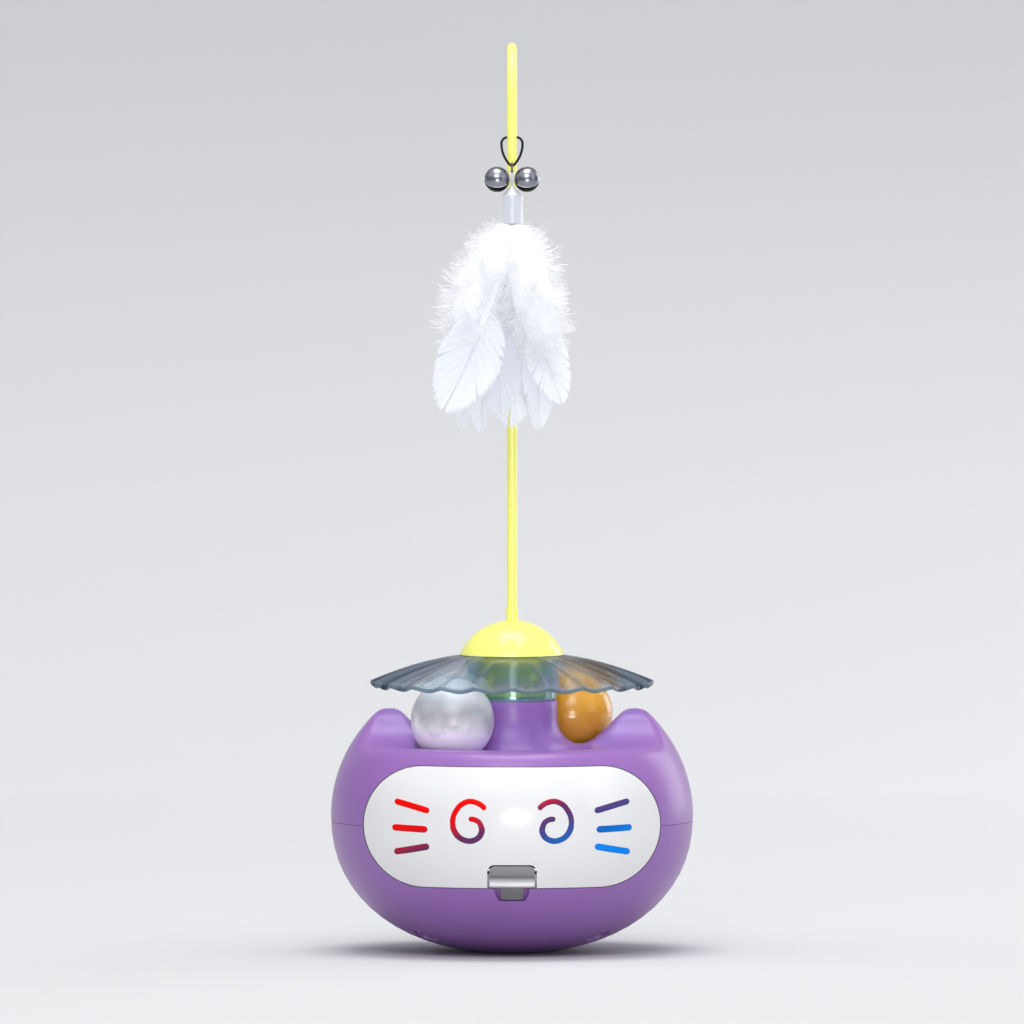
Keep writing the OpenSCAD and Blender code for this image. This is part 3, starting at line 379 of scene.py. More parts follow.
def upper_shell_mesh(material):
    """The top of the base: lip, deck, ears, bays and column as one softened moulding."""
    steps = 480
    turns = (np.arange(steps) * TURN / steps + TURN / steps / 2)[:, None]

    def row(profile):
        return around(turns, *np.array(profile).T)

    def on_deck(r, drop=0.0, limit=np.inf):
        z = deck_height(r * np.cos(turns), r * np.sin(turns)) - drop
        return around(turns, r, np.minimum(z, limit))

    seam_r = float(outer_radius(PART_Z))
    lip = [(seam_r - 0.5, PART_Z + 0.02), (seam_r - 0.2, PART_Z + 0.06), (seam_r - 0.03, PART_Z + 0.2)]
    crown_a = np.radians(np.linspace(0.5, math.degrees(math.acos(CROWN_EDGE_R / BODY_R)), 16))
    crown = [(BODY_R * math.cos(t), BELLY_Z + CROWN_RISE * math.sin(t)) for t in crown_a]
    across = np.concatenate([np.linspace(CROWN_EDGE_R - 0.4, FLANK_R, 24),
                             np.linspace(FLANK_R - 0.6, COLUMN_R + 0.05, 64)])
    column = [(COLUMN_R, 85.4), (COLUMN_R, 88), (COLUMN_R, COLUMN_Z - 0.5),
              (COLUMN_R - 0.15, COLUMN_Z - 0.15), (COLUMN_R - 0.5, COLUMN_Z), (BUSH_R, COLUMN_Z),
              (BUSH_R, COLUMN_Z - BUSH_SEAT), (COLUMN_R - WALL - 0.1, COLUMN_Z - BUSH_SEAT)]
    under = np.linspace(COLUMN_R - WALL, UNDER_R, 40)
    inner_z = np.linspace(70, PART_Z + 0.02, 8)
    inner = np.stack([outer_radius(inner_z) - WALL, inner_z], 1)
    points = np.concatenate([
        row(lip + crown), on_deck(across), row(column), on_deck(under, 2.2, DECK_Z - WALL), row(inner)], 1)
    faces = grid_faces(steps, points.shape[1], True, True)
    obj = closed_object("base_top", points.reshape(-1, 3), faces, material)
    cut_away(obj, stadium_block(FACE_W, FACE_H, CUT_NEAR_R, CUT_FAR_R))
    soften(obj, 38)
    return obj


# ---------------------------------------------------------------- nodes


def set_inputs(node, values):
    """Sets a node's inputs by name or number. A socket is linked, and a colour gets its alpha."""
    for name, value in values.items():
        socket = node.inputs[name]
        if isinstance(value, bpy.types.NodeSocket):
            node.id_data.links.new(value, socket)
        else:
            socket.default_value = (*value, 1) if socket.type == "RGBA" else value


def add_node(tree, kind, values=None, **settings):
    node = tree.nodes.new(kind)
    for name, value in settings.items():
        setattr(node, name, value)
    set_inputs(node, values or {})
    return node


def new_group(kind, name, inputs, outputs):
    """A node group with sockets of given names and kinds, and what its inputs give."""
    group = bpy.data.node_groups.new(name, kind)
    for way, sockets in (("INPUT", inputs), ("OUTPUT", outputs)):
        for label, socket in sockets.items():
            group.interface.new_socket(label, in_out=way, socket_type="NodeSocket" + socket)
    return group, add_node(group, "NodeGroupInput").outputs


def own_place(tree):
    """A point's place in the toy's frame."""
    return add_node(tree, "ShaderNodeTexCoord").outputs["Object"]


def axes(tree, place=None):
    """X, Y and Z of a place, by default of the point's own."""
    place = own_place(tree) if place is None else place
    return add_node(tree, "ShaderNodeSeparateXYZ", {0: place}).outputs


def own_value(tree, name):
    """A value that the mesh carries on its points."""
    return add_node(tree, "ShaderNodeAttribute", attribute_name=name).outputs["Fac"]


def calculate(tree, operation, *values, **settings):
    values = dict(enumerate(values))
    return add_node(tree, "ShaderNodeMath", values, operation=operation, **settings).outputs[0]


def calculate_vector(tree, operation, *values):
    node = add_node(tree, "ShaderNodeVectorMath", dict(enumerate(values)), operation=operation)
    return node.outputs["Value" if operation in ("LENGTH", "DOT_PRODUCT") else "Vector"]


def ranged(tree, value, low=0.0, high=1.0, start=0.0, end=1.0):
    """A value's place between two limits, carried over to another range."""
    return add_node(tree, "ShaderNodeMapRange", {
        "Value": value, "From Min": low, "From Max": high, "To Min": start, "To Max": end}).outputs[0]


def noise(tree, scale, detail, **more):
    return add_node(tree, "ShaderNodeTexNoise", {
        "Vector": own_place(tree), "Scale": scale, "Detail": detail, **more}).outputs["Fac"]


def bump(tree, strength, height):
    return add_node(tree, "ShaderNodeBump", {
        "Strength": strength, "Distance": 0.0002, "Height": height}).outputs[0]


def facing(tree, blend, **more):
    """How far a surface turns away from the eye."""
    return add_node(tree, "ShaderNodeLayerWeight", {"Blend": blend, **more}).outputs["Facing"]


def mixed(tree, share, first, second):
    """A colour between two others."""
    return add_node(tree, "ShaderNodeMix", {0: share, 6: first, 7: second}, data_type="RGBA").outputs[2]


def ramped(tree, value, stops):
    """A colour from a ramp of (place, colour) stops."""
    ramp = add_node(tree, "ShaderNodeValToRGB", {0: value})
    elements = ramp.color_ramp.elements
    while len(elements) < len(stops):
        elements.new(0.5)
    for element, (position, color) in zip(elements, stops):
        element.position, element.color = position, (*color, 1)
    return ramp.outputs[0]


def see_through(tree, color=(1, 1, 1)):
    return add_node(tree, "ShaderNodeBsdfTransparent", {"Color": color}).outputs[0]


def shader_mix(tree, share, first, second):
    return add_node(tree, "ShaderNodeMixShader", {0: share, 1: first, 2: second}).outputs[0]


def show(tree, surface):
    set_inputs(tree.nodes["Material Output"], {"Surface": surface})


# ---------------------------------------------------------------- materials


def moulded_group():
    """Faint mottling, uneven gloss and orange peel of a plastic moulding."""
    if "moulded_skin" in bpy.data.node_groups:
        return bpy.data.node_groups["moulded_skin"]
    group, start = new_group("ShaderNodeTree", "moulded_skin", {
        "Color": "Color", "Mottle": "Float", "Roughness": "Float", "Uneven": "Float", "Peel": "Float",
        "Peel scale": "Float"}, {"Color": "Color", "Roughness": "Float", "Normal": "Vector"})
    shift = calculate(group, "SUBTRACT", noise(group, 55.0, 3.0), 0.5)
    amount = calculate(group, "MULTIPLY_ADD", shift, start["Mottle"], 1.0)
    tint = add_node(group, "ShaderNodeVectorMath", {0: start["Color"], "Scale": amount}, operation="SCALE")
    gloss = calculate(group, "MULTIPLY_ADD", shift, start["Uneven"], start["Roughness"], use_clamp=True)
    peel = bump(group, start["Peel"], noise(group, start["Peel scale"], 1.0))
    add_node(group, "NodeGroupOutput", {"Color": tint.outputs[0], "Roughness": gloss, "Normal": peel})
    return group


def blank_material(name):
    material = bpy.data.materials.new(name)
    material.use_nodes = True
    tree = material.node_tree
    return material, tree, tree.nodes["Principled BSDF"]


def add_skin(tree, shader, color, mottle, roughness, uneven, peel, peel_scale):
    """Puts the shared skin before a shader, and gives back the skin's outputs."""
    skin = add_node(tree, "ShaderNodeGroup", {
        "Color": color, "Mottle": mottle, "Roughness": roughness, "Uneven": uneven, "Peel": peel,
        "Peel scale": peel_scale}, node_tree=moulded_group()).outputs
    set_inputs(shader, {
        "Base Color": skin["Color"], "Roughness": skin["Roughness"], "Normal": skin["Normal"]})
    return skin


def moulded(name, color, roughness, mottle=0.06, uneven=0.08, peel=0.04, peel_scale=900.0, **sockets):
    """Plastic moulding on the shared skin."""
    if name in bpy.data.materials:
        return bpy.data.materials[name]
    material, tree, shader = blank_material(name)
    add_skin(tree, shader, color, mottle, roughness, uneven, peel, peel_scale)
    set_inputs(shader, {key.replace("_", " "): value for key, value in sockets.items()})
    return material


def repaint(material, color):
    """Takes a moulding's colour from a socket."""
    set_inputs(next(n for n in material.node_tree.nodes if n.type == "GROUP"), {"Color": color})
    return material


def metal(name, color, roughness, uneven=0.08):
    return moulded(name, color, roughness, 0.08, uneven, 0.02, 1500.0, Metallic=1.0)


def bright_steel():
    return metal("bright_steel", (0.62, 0.62, 0.64), 0.28)


def lemon_plastic():
    return moulded("lemon_moulding", colours().lemon, 0.3, 0.04, 0.05, 0.02, Coat_Weight=0.4,
                   Coat_Roughness=0.12, Subsurface_Weight=0.15, Subsurface_Scale=0.004)


def clear_plastic():
    """Smoky clear moulding, greener at its neck, with painted shade: dark streaks where the skirt turns
    away, dark lines in its folds and grey lines along its crests and its rim."""
    material, tree, shader = blank_material("clear_smoke")
    paint, rise = colours(), 2.3  # rise of the skirt's plain normal, for one outwards
    flat = calculate_vector(tree, "MULTIPLY", own_place(tree), (1, 1, 0))
    cone = calculate_vector(tree, "ADD", calculate_vector(tree, "NORMALIZE", flat), (0, 0, rise))
    upright = add_node(tree, "ShaderNodeVectorTransform", {0: cone}, vector_type="NORMAL",
                       convert_from="OBJECT", convert_to="WORLD").outputs[0]
    # painted shade: where the skirt turns away it gets a darker smoke facing the eye and the edge shade
    # towards its edge
    aside = ranged(tree, facing(tree, 0.5, Normal=upright), 0.66, 0.77)
    pale = [c * k for c, k in zip(paint.smoke, (0.40, 0.46, 0.56))]
    skirt_side_shade = mixed(tree, facing(tree, 0.42), pale, paint.smoke_edge_shade)
    skirt = mixed(tree, aside, paint.smoke, skirt_side_shade)
    radius = calculate_vector(tree, "LENGTH", flat)
    body = mixed(tree, ranged(tree, radius, *NECK_REACH), paint.neck, skirt)
    rim = own_value(tree, "rim")
    # painted shade: grey lines along the flutes' crests and round the rim
    lined = mixed(tree, rim, body, (0.22, 0.30, 0.38))
    # painted shade: dark lines in the flutes' folds on the sides that turn away
    fold_shade = calculate(tree, "MULTIPLY", own_value(tree, "fold_shade"), aside)
    fold_shaded = mixed(tree, fold_shade, lined, (0.012, 0.03, 0.06))
    skin = add_skin(tree, shader, fold_shaded, 0.06, 0.03, 0.03, 0.02, 500.0)
    # where the painted grey lines run, the moulding is also less clear
    set_inputs(shader, {
        "Transmission Weight": ranged(tree, rim, start=1.0, end=0.35), "IOR": 1.16,
        "Coat Weight": ranged(tree, radius, *NECK_REACH, 1.0, 0.4), "Coat Roughness": 0.03})
    thin = shader_mix(tree, 0.4, shader.outputs[0], see_through(tree, skin["Color"]))
    ray = add_node(tree, "ShaderNodeLightPath").outputs["Is Shadow Ray"]
    show(tree, shader_mix(tree, ray, thin, see_through(tree, CLEAR_SHADE)))
    return material


def print_ink():
    """Ink that runs from red through purple to blue across the face."""
    material, tree, shader = blank_material("face_ink")
    place = axes(tree)
    slant, first, last = -3.0, -0.1888, -0.0953  # lean of the bands, and where they start and end
    lean = calculate(tree, "MULTIPLY_ADD", place["Z"], slant, place["X"])
    color = ramped(tree, ranged(tree, lean, first, last), (
        (0.0, (0.80, 0.002, 0.002)), (0.22, (0.64, 0.004, 0.008)), (0.40, (0.13, 0.022, 0.085)),
        (0.58, (0.085, 0.04, 0.16)), (0.72, (0.035, 0.075, 0.30)), (0.86, (0.003, 0.13, 0.52)),
        (1.0, (0.001, 0.22, 0.80))))
    gloss = ranged(tree, noise(tree, 2500.0, 2.0), start=0.25, end=0.42)
    set_inputs(shader, {"Base Color": color, "Roughness": gloss, "Specular IOR Level": 0.08})
    return material


def latch_metal_with_highlight():
    """Brushed satin finish, with a painted highlight along the barrel at the finger edge, and darker on the
    tongue.
    """
    material = metal("satin_latch_highlight", (0.42, 0.42, 0.44), 0.38, 0.12)
    tree = material.node_tree
    low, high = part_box("latch")
    share = ranged(tree, axes(tree)["Z"], low[2], high[2])
    # painted highlight: a bright band across the barrel, by height on the latch
    stops = ((0.0, 0.24), (0.36, 0.24), (0.38, 0.55), (0.46, 0.92), (0.56, 0.6), (0.66, 0.28), (0.8, 0.32),
             (1.0, 0.35))
    return repaint(material, ramped(tree, share, [(up, (grey, grey, grey * 1.02)) for up, grey in stops]))


def pearl_plastic():
    """Pearl white with a cloudy grey band round the middle, made lighter low down as painted bounce light.
    """
    material = moulded("pearl_plastic", colours().pearl, 0.32, 0.1, 0.16, 0.02, Metallic=0.1,
                       Coat_Weight=0.12, Coat_Roughness=0.2, Specular_IOR_Level=0.35, Sheen_Weight=0.1)
    tree = material.node_tree
    swirl = 16  # how far the clouds stir the band, in millimetres
    cloud = noise(tree, 70.0, 3.0, Roughness=0.6)
    stir = calculate(tree, "MULTIPLY_ADD", cloud, swirl * MM, axes(tree)["Z"])
    share = ranged(tree, stir, (BALL_Z - BALL_R + swirl / 2) * MM, (BALL_Z + BALL_R + swirl / 2) * MM)
    pale = np.array(colours().pearl)
    # painted light: the levels below the band are lighter, for bounce light from the deck
    stops = ((0.0, 1.16), (0.32, 1.12), (0.46, 0.66), (0.58, 0.46), (0.7, 0.56), (0.9, 0.78))
    return repaint(material, ramped(tree, share, [(up, tuple(pale * level)) for up, level in stops]))


def sleeve_plastic():
    """White sleeve, whiter where it turns away as a painted sheen."""
    material = moulded("white_sleeve", SLEEVE_WHITE, 0.3, 0.04, 0.05, 0.02, Coat_Weight=0.15,
                       Sheen_Weight=0.7, Sheen_Roughness=0.3)
    tree = material.node_tree
    # painted sheen: whiter where the surface turns away from the eye
    return repaint(material, mixed(tree, facing(tree, 0.4), SLEEVE_WHITE, (1, 1, 1)))


def bell_plating_painted():
    """Dark plating, black on the lower cup as a painted reflection, with a painted highlight along the
    rolled edge between the cups.
    """
    material = metal("dark_plating_painted_light", (0.3, 0.31, 0.35), 0.25)
    tree = material.node_tree
    low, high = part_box("left_bell")
    lift, half = 0.0005, 0.001  # the edge above the bell's middle, and half the ramp, in metres
    middle = (low[2] + high[2]) / 2 - BELL_TILT * LURE_Y * MM + lift
    level = calculate_vector(tree, "DOT_PRODUCT", own_place(tree), (0, -BELL_TILT, 1))
    # painted light: a black reflection below the edge and a bright highlight on it
    return repaint(material, ramped(tree, ranged(tree, level, middle - half, middle + half), (
        (0.0, (0.004, 0.004, 0.005)), (0.42, (0.006, 0.006, 0.008)), (0.47, (0.95, 0.96, 1.0)),
        (0.56, (0.95, 0.96, 1.0)), (0.62, (0.2, 0.21, 0.25)), (1.0, (0.3, 0.31, 0.36)))))


def down_material(name, shade, lined=False):
    """White down, with the fine lines of joined barbs where a vane is flat, and a faint painted glow in its
    own colour.
    """
    material, tree, shader = blank_material(name)
    color = [c * k for c, k in zip(colours().down, shade)]
    add_skin(tree, shader, color, 0.12, 0.65, 0.1, 0.08, 1500.0)
    if lined:
        wave = calculate(tree, "SINE", own_value(tree, "barb_line"))
        set_inputs(shader, {"Normal": bump(tree, 0.35, wave)})
    # painted light: a faint glow in the down's own colour softens its shade
    set_inputs(shader, {
        "Sheen Weight": 0.3, "Subsurface Weight": 0.6, "Subsurface Radius": (1, 1, 1),
        "Subsurface Scale": 0.002, "Specular IOR Level": 0.25, "Emission Color": color,
        "Emission Strength": 0.2})
    return material


# ---------------------------------------------------------------- base


class PieceOperator:
    bl_options = {"REGISTER", "UNDO"}


class TOY_OT_shells(PieceOperator, bpy.types.Operator):
    """Purple base with its ears, deck and column"""

    bl_idname = "toy.shells"
    bl_label = "Base shells"

    def execute(self, context):
        purple = moulded("purple_moulding", colours().shell, 0.36, 0.05, 0.06, 0.03, Coat_Weight=0.14,
                         Coat_Roughness=0.2, Specular_IOR_Level=0.4)
        settle(upper_shell_mesh(purple), "base", "upper_shell")
        solid_copy("lower_shell", "base_bowl", purple)
        return {"FINISHED"}


class TOY_OT_fittings(PieceOperator, bpy.types.Operator):
    """Weight, clamp, screws, bush and washers inside the toy"""

    bl_idname = "toy.fittings"
    bl_label = "Fittings"

    def execute(self, context):
        iron = moulded("cast_weight", (0.05, 0.05, 0.055), 0.6, 0.3, 0.2, 0.5, 400.0)
        natural = moulded("natural_bush", (0.72, 0.71, 0.68), 0.45)
        solid_copy("counterweight", "weight", iron)
        for node in ("weight_clamp", "weight_screws", "shell_screws", "tray_screws", "thrust_washer",
                     "retaining_washer", "retaining_screw"):
            solid_copy(node, node + "_metal", bright_steel())
        solid_copy("bearing_bush", "bush", natural)
        return {"FINISHED"}


class TOY_OT_face(PieceOperator, bpy.types.Operator):
    """White face cover with its printed whiskers and curled eyes, and the tray behind it"""

    bl_idname = "toy.face"
    bl_label = "Face"

    def execute(self, context):
        white = moulded("white_face", colours().face, 0.22, 0.03, 0.05, 0.02, Coat_Weight=0.5,
                        Coat_Roughness=0.08)
        solid_copy("face_cover", "face_plate", white)
        solid_copy("treat_tray", "tray", moulded("white_tray", (0.8, 0.8, 0.82), 0.4))
        ink = print_ink()
        for name, path, half_w in face_strokes():
            settle(printed_stroke(name, path, half_w, ink), "face", slot="face")
        return {"FINISHED"}


def face_strokes():
    """Centre lines and half widths of the print, across and up the face, in millimetres."""
    curl = np.array([
        (9.6, 54.6), (10.6, 55.9), (12.6, 57.1), (15.7, 57.5), (18.9, 55.7), (21.1, 51.7), (20.9, 47.5),
        (18.7, 44.4), (15.3, 43.3), (12.3, 44.3), (10.8, 47.0), (11.6, 49.8), (13.5, 51.1), (15.6, 51.2)])
    rows = (((42.1, 57.1), (29.6, 53.8)), ((43.0, 47.6), (30.3, 47.2)), ((42.3, 38.6), (29.7, 41.2)))
    strokes = []
    for side, label in ((-1, "left"), (1, "right")):
        for i, (outer, inner) in enumerate(rows):
            line = np.linspace(outer, inner, 24) * (side, 1)
            strokes.append((f"whisker_{label}_{i + 1}", line, 1.22))
        strokes.append((f"eye_{label}", through(curl, 14) * (side, 1), 1.06))
    return strokes


def through(spots, count):
    """A smooth line through points."""
    ends = np.concatenate([[2 * spots[0] - spots[1]], spots, [2 * spots[-1] - spots[-2]]])
    t = np.linspace(0, 1, count, endpoint=False)[:, None]
    runs = []
    for a, b, c, d in zip(ends, ends[1:], ends[2:], ends[3:]):
        square, cube = 2 * a - 5 * b + 4 * c - d, 3 * b - a - 3 * c + d
        runs.append(0.5 * (2 * b + (c - a) * t + square * t ** 2 + cube * t ** 3))
    return np.concatenate([*runs, spots[-1:]])


def printed_stroke(name, path, half_w, material):
    """A thin domed stroke with round ends on the face cover."""
    step = np.linalg.norm(np.diff(path, axis=0), axis=1)
    run = np.concatenate([[0], np.cumsum(step)])
    ends = np.radians(np.linspace(0, 90, 7)[:-1])
    inset = half_w * (1 - np.cos(ends))
    stops = np.concatenate([half_w - half_w * np.cos(ends), np.linspace(half_w, run[-1] - half_w, 90),
                            run[-1] - inset[::-1]])
    line = np.stack([np.interp(stops, run, path[:, k]) for k in (0, 1)], 1)
    near = np.minimum(stops, run[-1] - stops)
    width = half_w * np.sqrt(np.clip(1 - (1 - np.minimum(near / half_w, 1)) ** 2, 0.0004, 1))
    along = unit(np.gradient(line, axis=0))
    across = np.stack([-along[:, 1], along[:, 0]], 1)
    section = ((-1, -0.06), (-0.8, 0.04), (0, 0.06), (0.8, 0.04), (1, -0.06))
    points = []
    for centre, w, sideways in zip(line, width, across):
        for offset, lift in section:
            x, z = centre + sideways * w * offset
            r = float(outer_radius(z)) + lift
            points.append((x, -math.sqrt(r * r - x * x), z))
    return closed_object(name, points, tube_faces(len(line), len(section)), material)


class TOY_OT_latch(PieceOperator, bpy.types.Operator):
    """Satin rocker latch with its pin and spring"""

    bl_idname = "toy.latch"
    bl_label = "Latch"

    def execute(self, context):
        rocker = solid_copy("latch", "latch_rocker", latch_metal_with_highlight())
        for vertex in rocker.data.vertices:
            if vertex.co.z < LATCH_FOOT_Z * MM and vertex.co.y > LATCH_FOOT_Y * MM:
                vertex.co.z += LATCH_RELIEF * MM
        solid_copy("latch_pin", "latch_axle", bright_steel())
        solid_copy("latch_spring", "latch_leaf", bright_steel())
        return {"FINISHED"}


class TOY_OT_balls(PieceOperator, bpy.types.Operator):
    """Pearl ball in front and amber ball behind"""

    bl_idname = "toy.balls"
    bl_label = "Balls"

    def execute(self, context):
        amber = moulded("amber_plastic", colours().amber, 0.25, 0.12, 0.05, 0.02, Coat_Weight=0.5,
                        Coat_Roughness=0.1, Subsurface_Weight=0.3, Subsurface_Scale=0.01)
        settle(ball_mesh("ball_pearl", FRONT_BALL_A, pearl_plastic()), "front_ball", "front_ball")
        settle(ball_mesh("ball_amber", BACK_BALL_A, amber), "back_ball", "back_ball")
        return {"FINISHED"}


def ball_mesh(name, rest_a, material):
    """A hollow ball welded from two halves, with a fine weld line."""
    turn = np.radians(np.linspace(-90, 90, 65))
    weld = 1 - 0.006 * np.exp(-(turn / 0.02) ** 2)
    profile = [(BALL_R * w * math.cos(t), BALL_Z + BALL_R * math.sin(t)) for t, w in zip(turn, weld)]
    profile[0], profile[-1] = (0, BALL_Z - BALL_R), (0, BALL_Z + BALL_R)
    steps, a = 96, math.radians(rest_a)
    turns = np.arange(steps)[:, None] * TURN / steps
    points = around(turns, *np.array(profile).T) + (TRACK_R * math.cos(a), TRACK_R * math.sin(a), 0)
    faces = grid_faces(steps, len(profile), True, True)
    obj = closed_object(name, points.reshape(-1, 3), faces, material, 1e-7)
    soften(obj, 60)
    return obj


# ---------------------------------------------------------------- turntable


class TOY_OT_turntable(PieceOperator, bpy.types.Operator):
    """Clear fluted canopy and yellow dome"""

    bl_idname = "toy.turntable"
    bl_label = "Turntable"

    def execute(self, context):
        settle(canopy_mesh(clear_plastic()), "turntable", "canopy")
        solid_copy("dome_cap", "dome", lemon_plastic(), 40)
        return {"FINISHED"}


def canopy_mesh(material):
    """Fluted skirt with its neck, as one closed moulding."""
    steps, rings = FLUTES * FLUTE_STEPS, 26
    turns = np.arange(steps) * TURN / steps
    wave = 1 - 2 * np.abs(np.sin(FLUTES / 2 * turns)) ** FLUTE_POWER
    inner = STEM_R + STEM_GAP

    def skirt(u, down):
        r = inner + (CANOPY_R - inner) * u
        grow = max(0.0, (r - DOME_EDGE_R) / (CANOPY_R - DOME_EDGE_R))
        reach = r + SCALLOP * wave * grow * grow
        z = CANOPY_CENTRE_Z + math.sqrt(CANOPY_CAP_R ** 2 - r * r) + FLUTE_AMP * wave * grow - down
        return around(turns, reach, z)

    def ring(r, z):
        return around(turns, r, z)

    u = np.linspace(0, 1, rings)
    neck_out, neck_in = COLUMN_R, COLUMN_R - NECK_T
    u_out, u_in = ((r - inner) / (CANOPY_R - inner) for r in (neck_out, neck_in))
    rows = [skirt(k, 0.0) for k in u]
    rows += [skirt(1.008, 0.15), skirt(1.012, CANOPY_T / 2), skirt(1.008, CANOPY_T - 0.15)]
    rows += [skirt(k, CANOPY_T) for k in u[::-1] if k > u_out + 0.02]
    low = COLUMN_Z + 0.3
    top = CANOPY_CENTRE_Z + math.sqrt(CANOPY_CAP_R ** 2 - neck_out ** 2) - CANOPY_T
    rows += [skirt(u_out + 0.02, CANOPY_T), ring(neck_out, top - 0.5), ring(neck_out, top - 0.9),
             ring(neck_out, low + 0.6), ring(neck_out, low + 0.2),
             ring(neck_out - 0.2, low), ring(neck_in + 0.2, low), ring(neck_in, low + 0.2),
             ring(neck_in, top - 0.5), skirt(u_in - 0.02, CANOPY_T), skirt(0, CANOPY_T)]
    points = np.stack(rows, 1).reshape(-1, 3)
    obj = closed_object("clear_canopy", points, grid_faces(steps, len(rows), True, True), material)
    soften(obj, 50)
    dome_rows = 8
    rim = np.zeros((steps, len(rows)), np.float32)
    # painted shade lines: along every flute's crest, and round the rim
    rim[::FLUTE_STEPS, dome_rows:rings] = 0.3
    rim[:, rings - 1:rings + 4] = (0.5, 1, 1, 1, 0.5)
    # painted shade in each flute's fold, kept as a value on the points
    fold_shade = np.zeros_like(rim)
    fold_shade[:, dome_rows:rings + 12] = np.clip(0.2 - wave, 0, 1)[:, None]
    point_attribute(obj.data, "rim", rim)
    point_attribute(obj.data, "fold_shade", fold_shade)
    return obj


# ---------------------------------------------------------------- teaser


class TOY_OT_cane(PieceOperator, bpy.types.Operator):
    """Yellow cane, wire loop and jump ring"""

    bl_idname = "toy.cane"
    bl_label = "Cane"

    def execute(self, context):
        solid_copy("teaser_rod", "cane", lemon_plastic(), 40)
        solid_copy("lure_loop", "wire_loop", metal("dark_wire_finish", (0.022, 0.022, 0.025), 0.3), 80)
        solid_copy("jump_ring", "link_ring", metal("dark_link_finish", (0.12, 0.12, 0.13), 0.25), 60)
        return {"FINISHED"}


class TOY_OT_lure(PieceOperator, bpy.types.Operator):
    """White sleeve with its plug, pin and dark bells"""

    bl_idname = "toy.lure"
    bl_label = "Lure"

    def execute(self, context):
        plated_painted, white, steel = bell_plating_painted(), sleeve_plastic(), bright_steel()
        for node, name, material, angle in (
                ("lure_plug", "plug", white, 40), ("lure_sleeve", "sleeve", white, 40),
                ("left_bell", "bell_left", plated_painted, 40), ("right_bell", "bell_right", plated_painted, 40),
                ("bell_pin", "bell_axle", steel, 60), ("left_pellet", "pellet_left", steel, 60),
                ("right_pellet", "pellet_right", steel, 60)):
            solid_copy(node, name, material, angle)
        return {"FINISHED"}


class TOY_OT_feathers(PieceOperator, bpy.types.Operator):
    """White plumes of the lure"""

    bl_idname = "toy.feathers"
    bl_label = "Feathers"

    def execute(self, context):
        down = down_material("white_down", (1, 1, 1))
        # painted shade: the dense down is a darker copy of the white down
        dense = down_material("dense_down_shaded", (0.92, 0.92, 0.92))
        vane = down_material("white_vane", (0.85, 0.87, 0.92), lined=True)
        for i, plan in enumerate(feather_plans()):
            settle(vane_mesh(f"plume_{i + 1}", plan, vane), "lure", f"feather_{i + 1}")
            settle(core_mesh(f"fluff_{i + 1}", plan, dense), "lure", slot="plume")
            settle(barb_mesh(f"down_{i + 1}", plan, down), "lure", slot="plume")
        return {"FINISHED"}


def feather_plans():
    """Place, size and sway of each plume: six round the outside, then three inside."""
    keys = ("turn", "face", "bow", "sway", "drift", "start", "end", "vane", "down", "count")
    outer = ((0, 300, 6.0, 0.0, 4.0, 0.5, 0.86, 9.0, 7.2, 1900),
             (60, 60, 9.5, -2.0, 0.0, 0.5, 0.88, 9.0, 7.8, 1500),
             (120, 120, 11.5, 3.0, 0.0, 0.5, 0.90, 9.0, 8.0, 1500),
             (180, 250, 12.0, 0.0, 7.0, 0.62, 0.90, 6.0, 8.0, 1900),
             (240, 262, 10.5, -7.0, -14.7, 0.44, 0.68, 11.5, 9.4, 2600),
             (300, 275, 9.0, 0.5, 18.0, 0.44, 0.74, 9.5, 8.8, 2600))
    inner = ((30, 276, 5.0, 5.0, 9.0, 0.44, 0.96, 14.0, 6.5, 400),
             (150, 268, 5.0, 0.0, -4.0, 0.5, 0.90, 12.0, 6.5, 400),
             (270, 266, 10.0, -5.0, -19.0, 0.46, 0.86, 14.5, 2.0, 60))
    plans = []
    for i, values in enumerate(outer + inner):
        plan = dict(zip(keys, values), seed=11 + i)
        plan["length"], plan["root"] = (84.0, 2.4) if i < len(outer) else (72.0, 0.9)
        plans.append(plan)
    return plans


def quill_frame(plan, u):
    """Points of a plume's quill with its tangent, sideways and outward directions."""
    def place(k):
        hidden = np.minimum(k, 0)
        k = np.maximum(k, 0)
        ease = np.sin(np.pi / 2 * np.minimum(1, 2 * k))
        out = plan["root"] + plan["bow"] * (ease + 0.3 * k * k)
        a = math.radians(plan["turn"])
        across = plan["sway"] * ease + plan["drift"] * k ** 2
        drop = HIDDEN_L + (plan["length"] - HIDDEN_L) * k + hidden * HIDDEN_L
        x = out * math.cos(a) - across * math.sin(a)
        y = LURE_Y + out * math.sin(a) + across * math.cos(a)
        return np.stack([x, y, ROOT_Z - drop], -1)

    u = np.asarray(u, float)
    along = unit(place(u + 0.01) - place(u - 0.01))
    a = math.radians(plan["face"])
    side = np.broadcast_to((-math.sin(a), math.cos(a), 0.0), along.shape)
    side = unit(side - along * np.sum(side * along, -1, keepdims=True))
    return place(u), along, side, np.cross(along, side) * -1


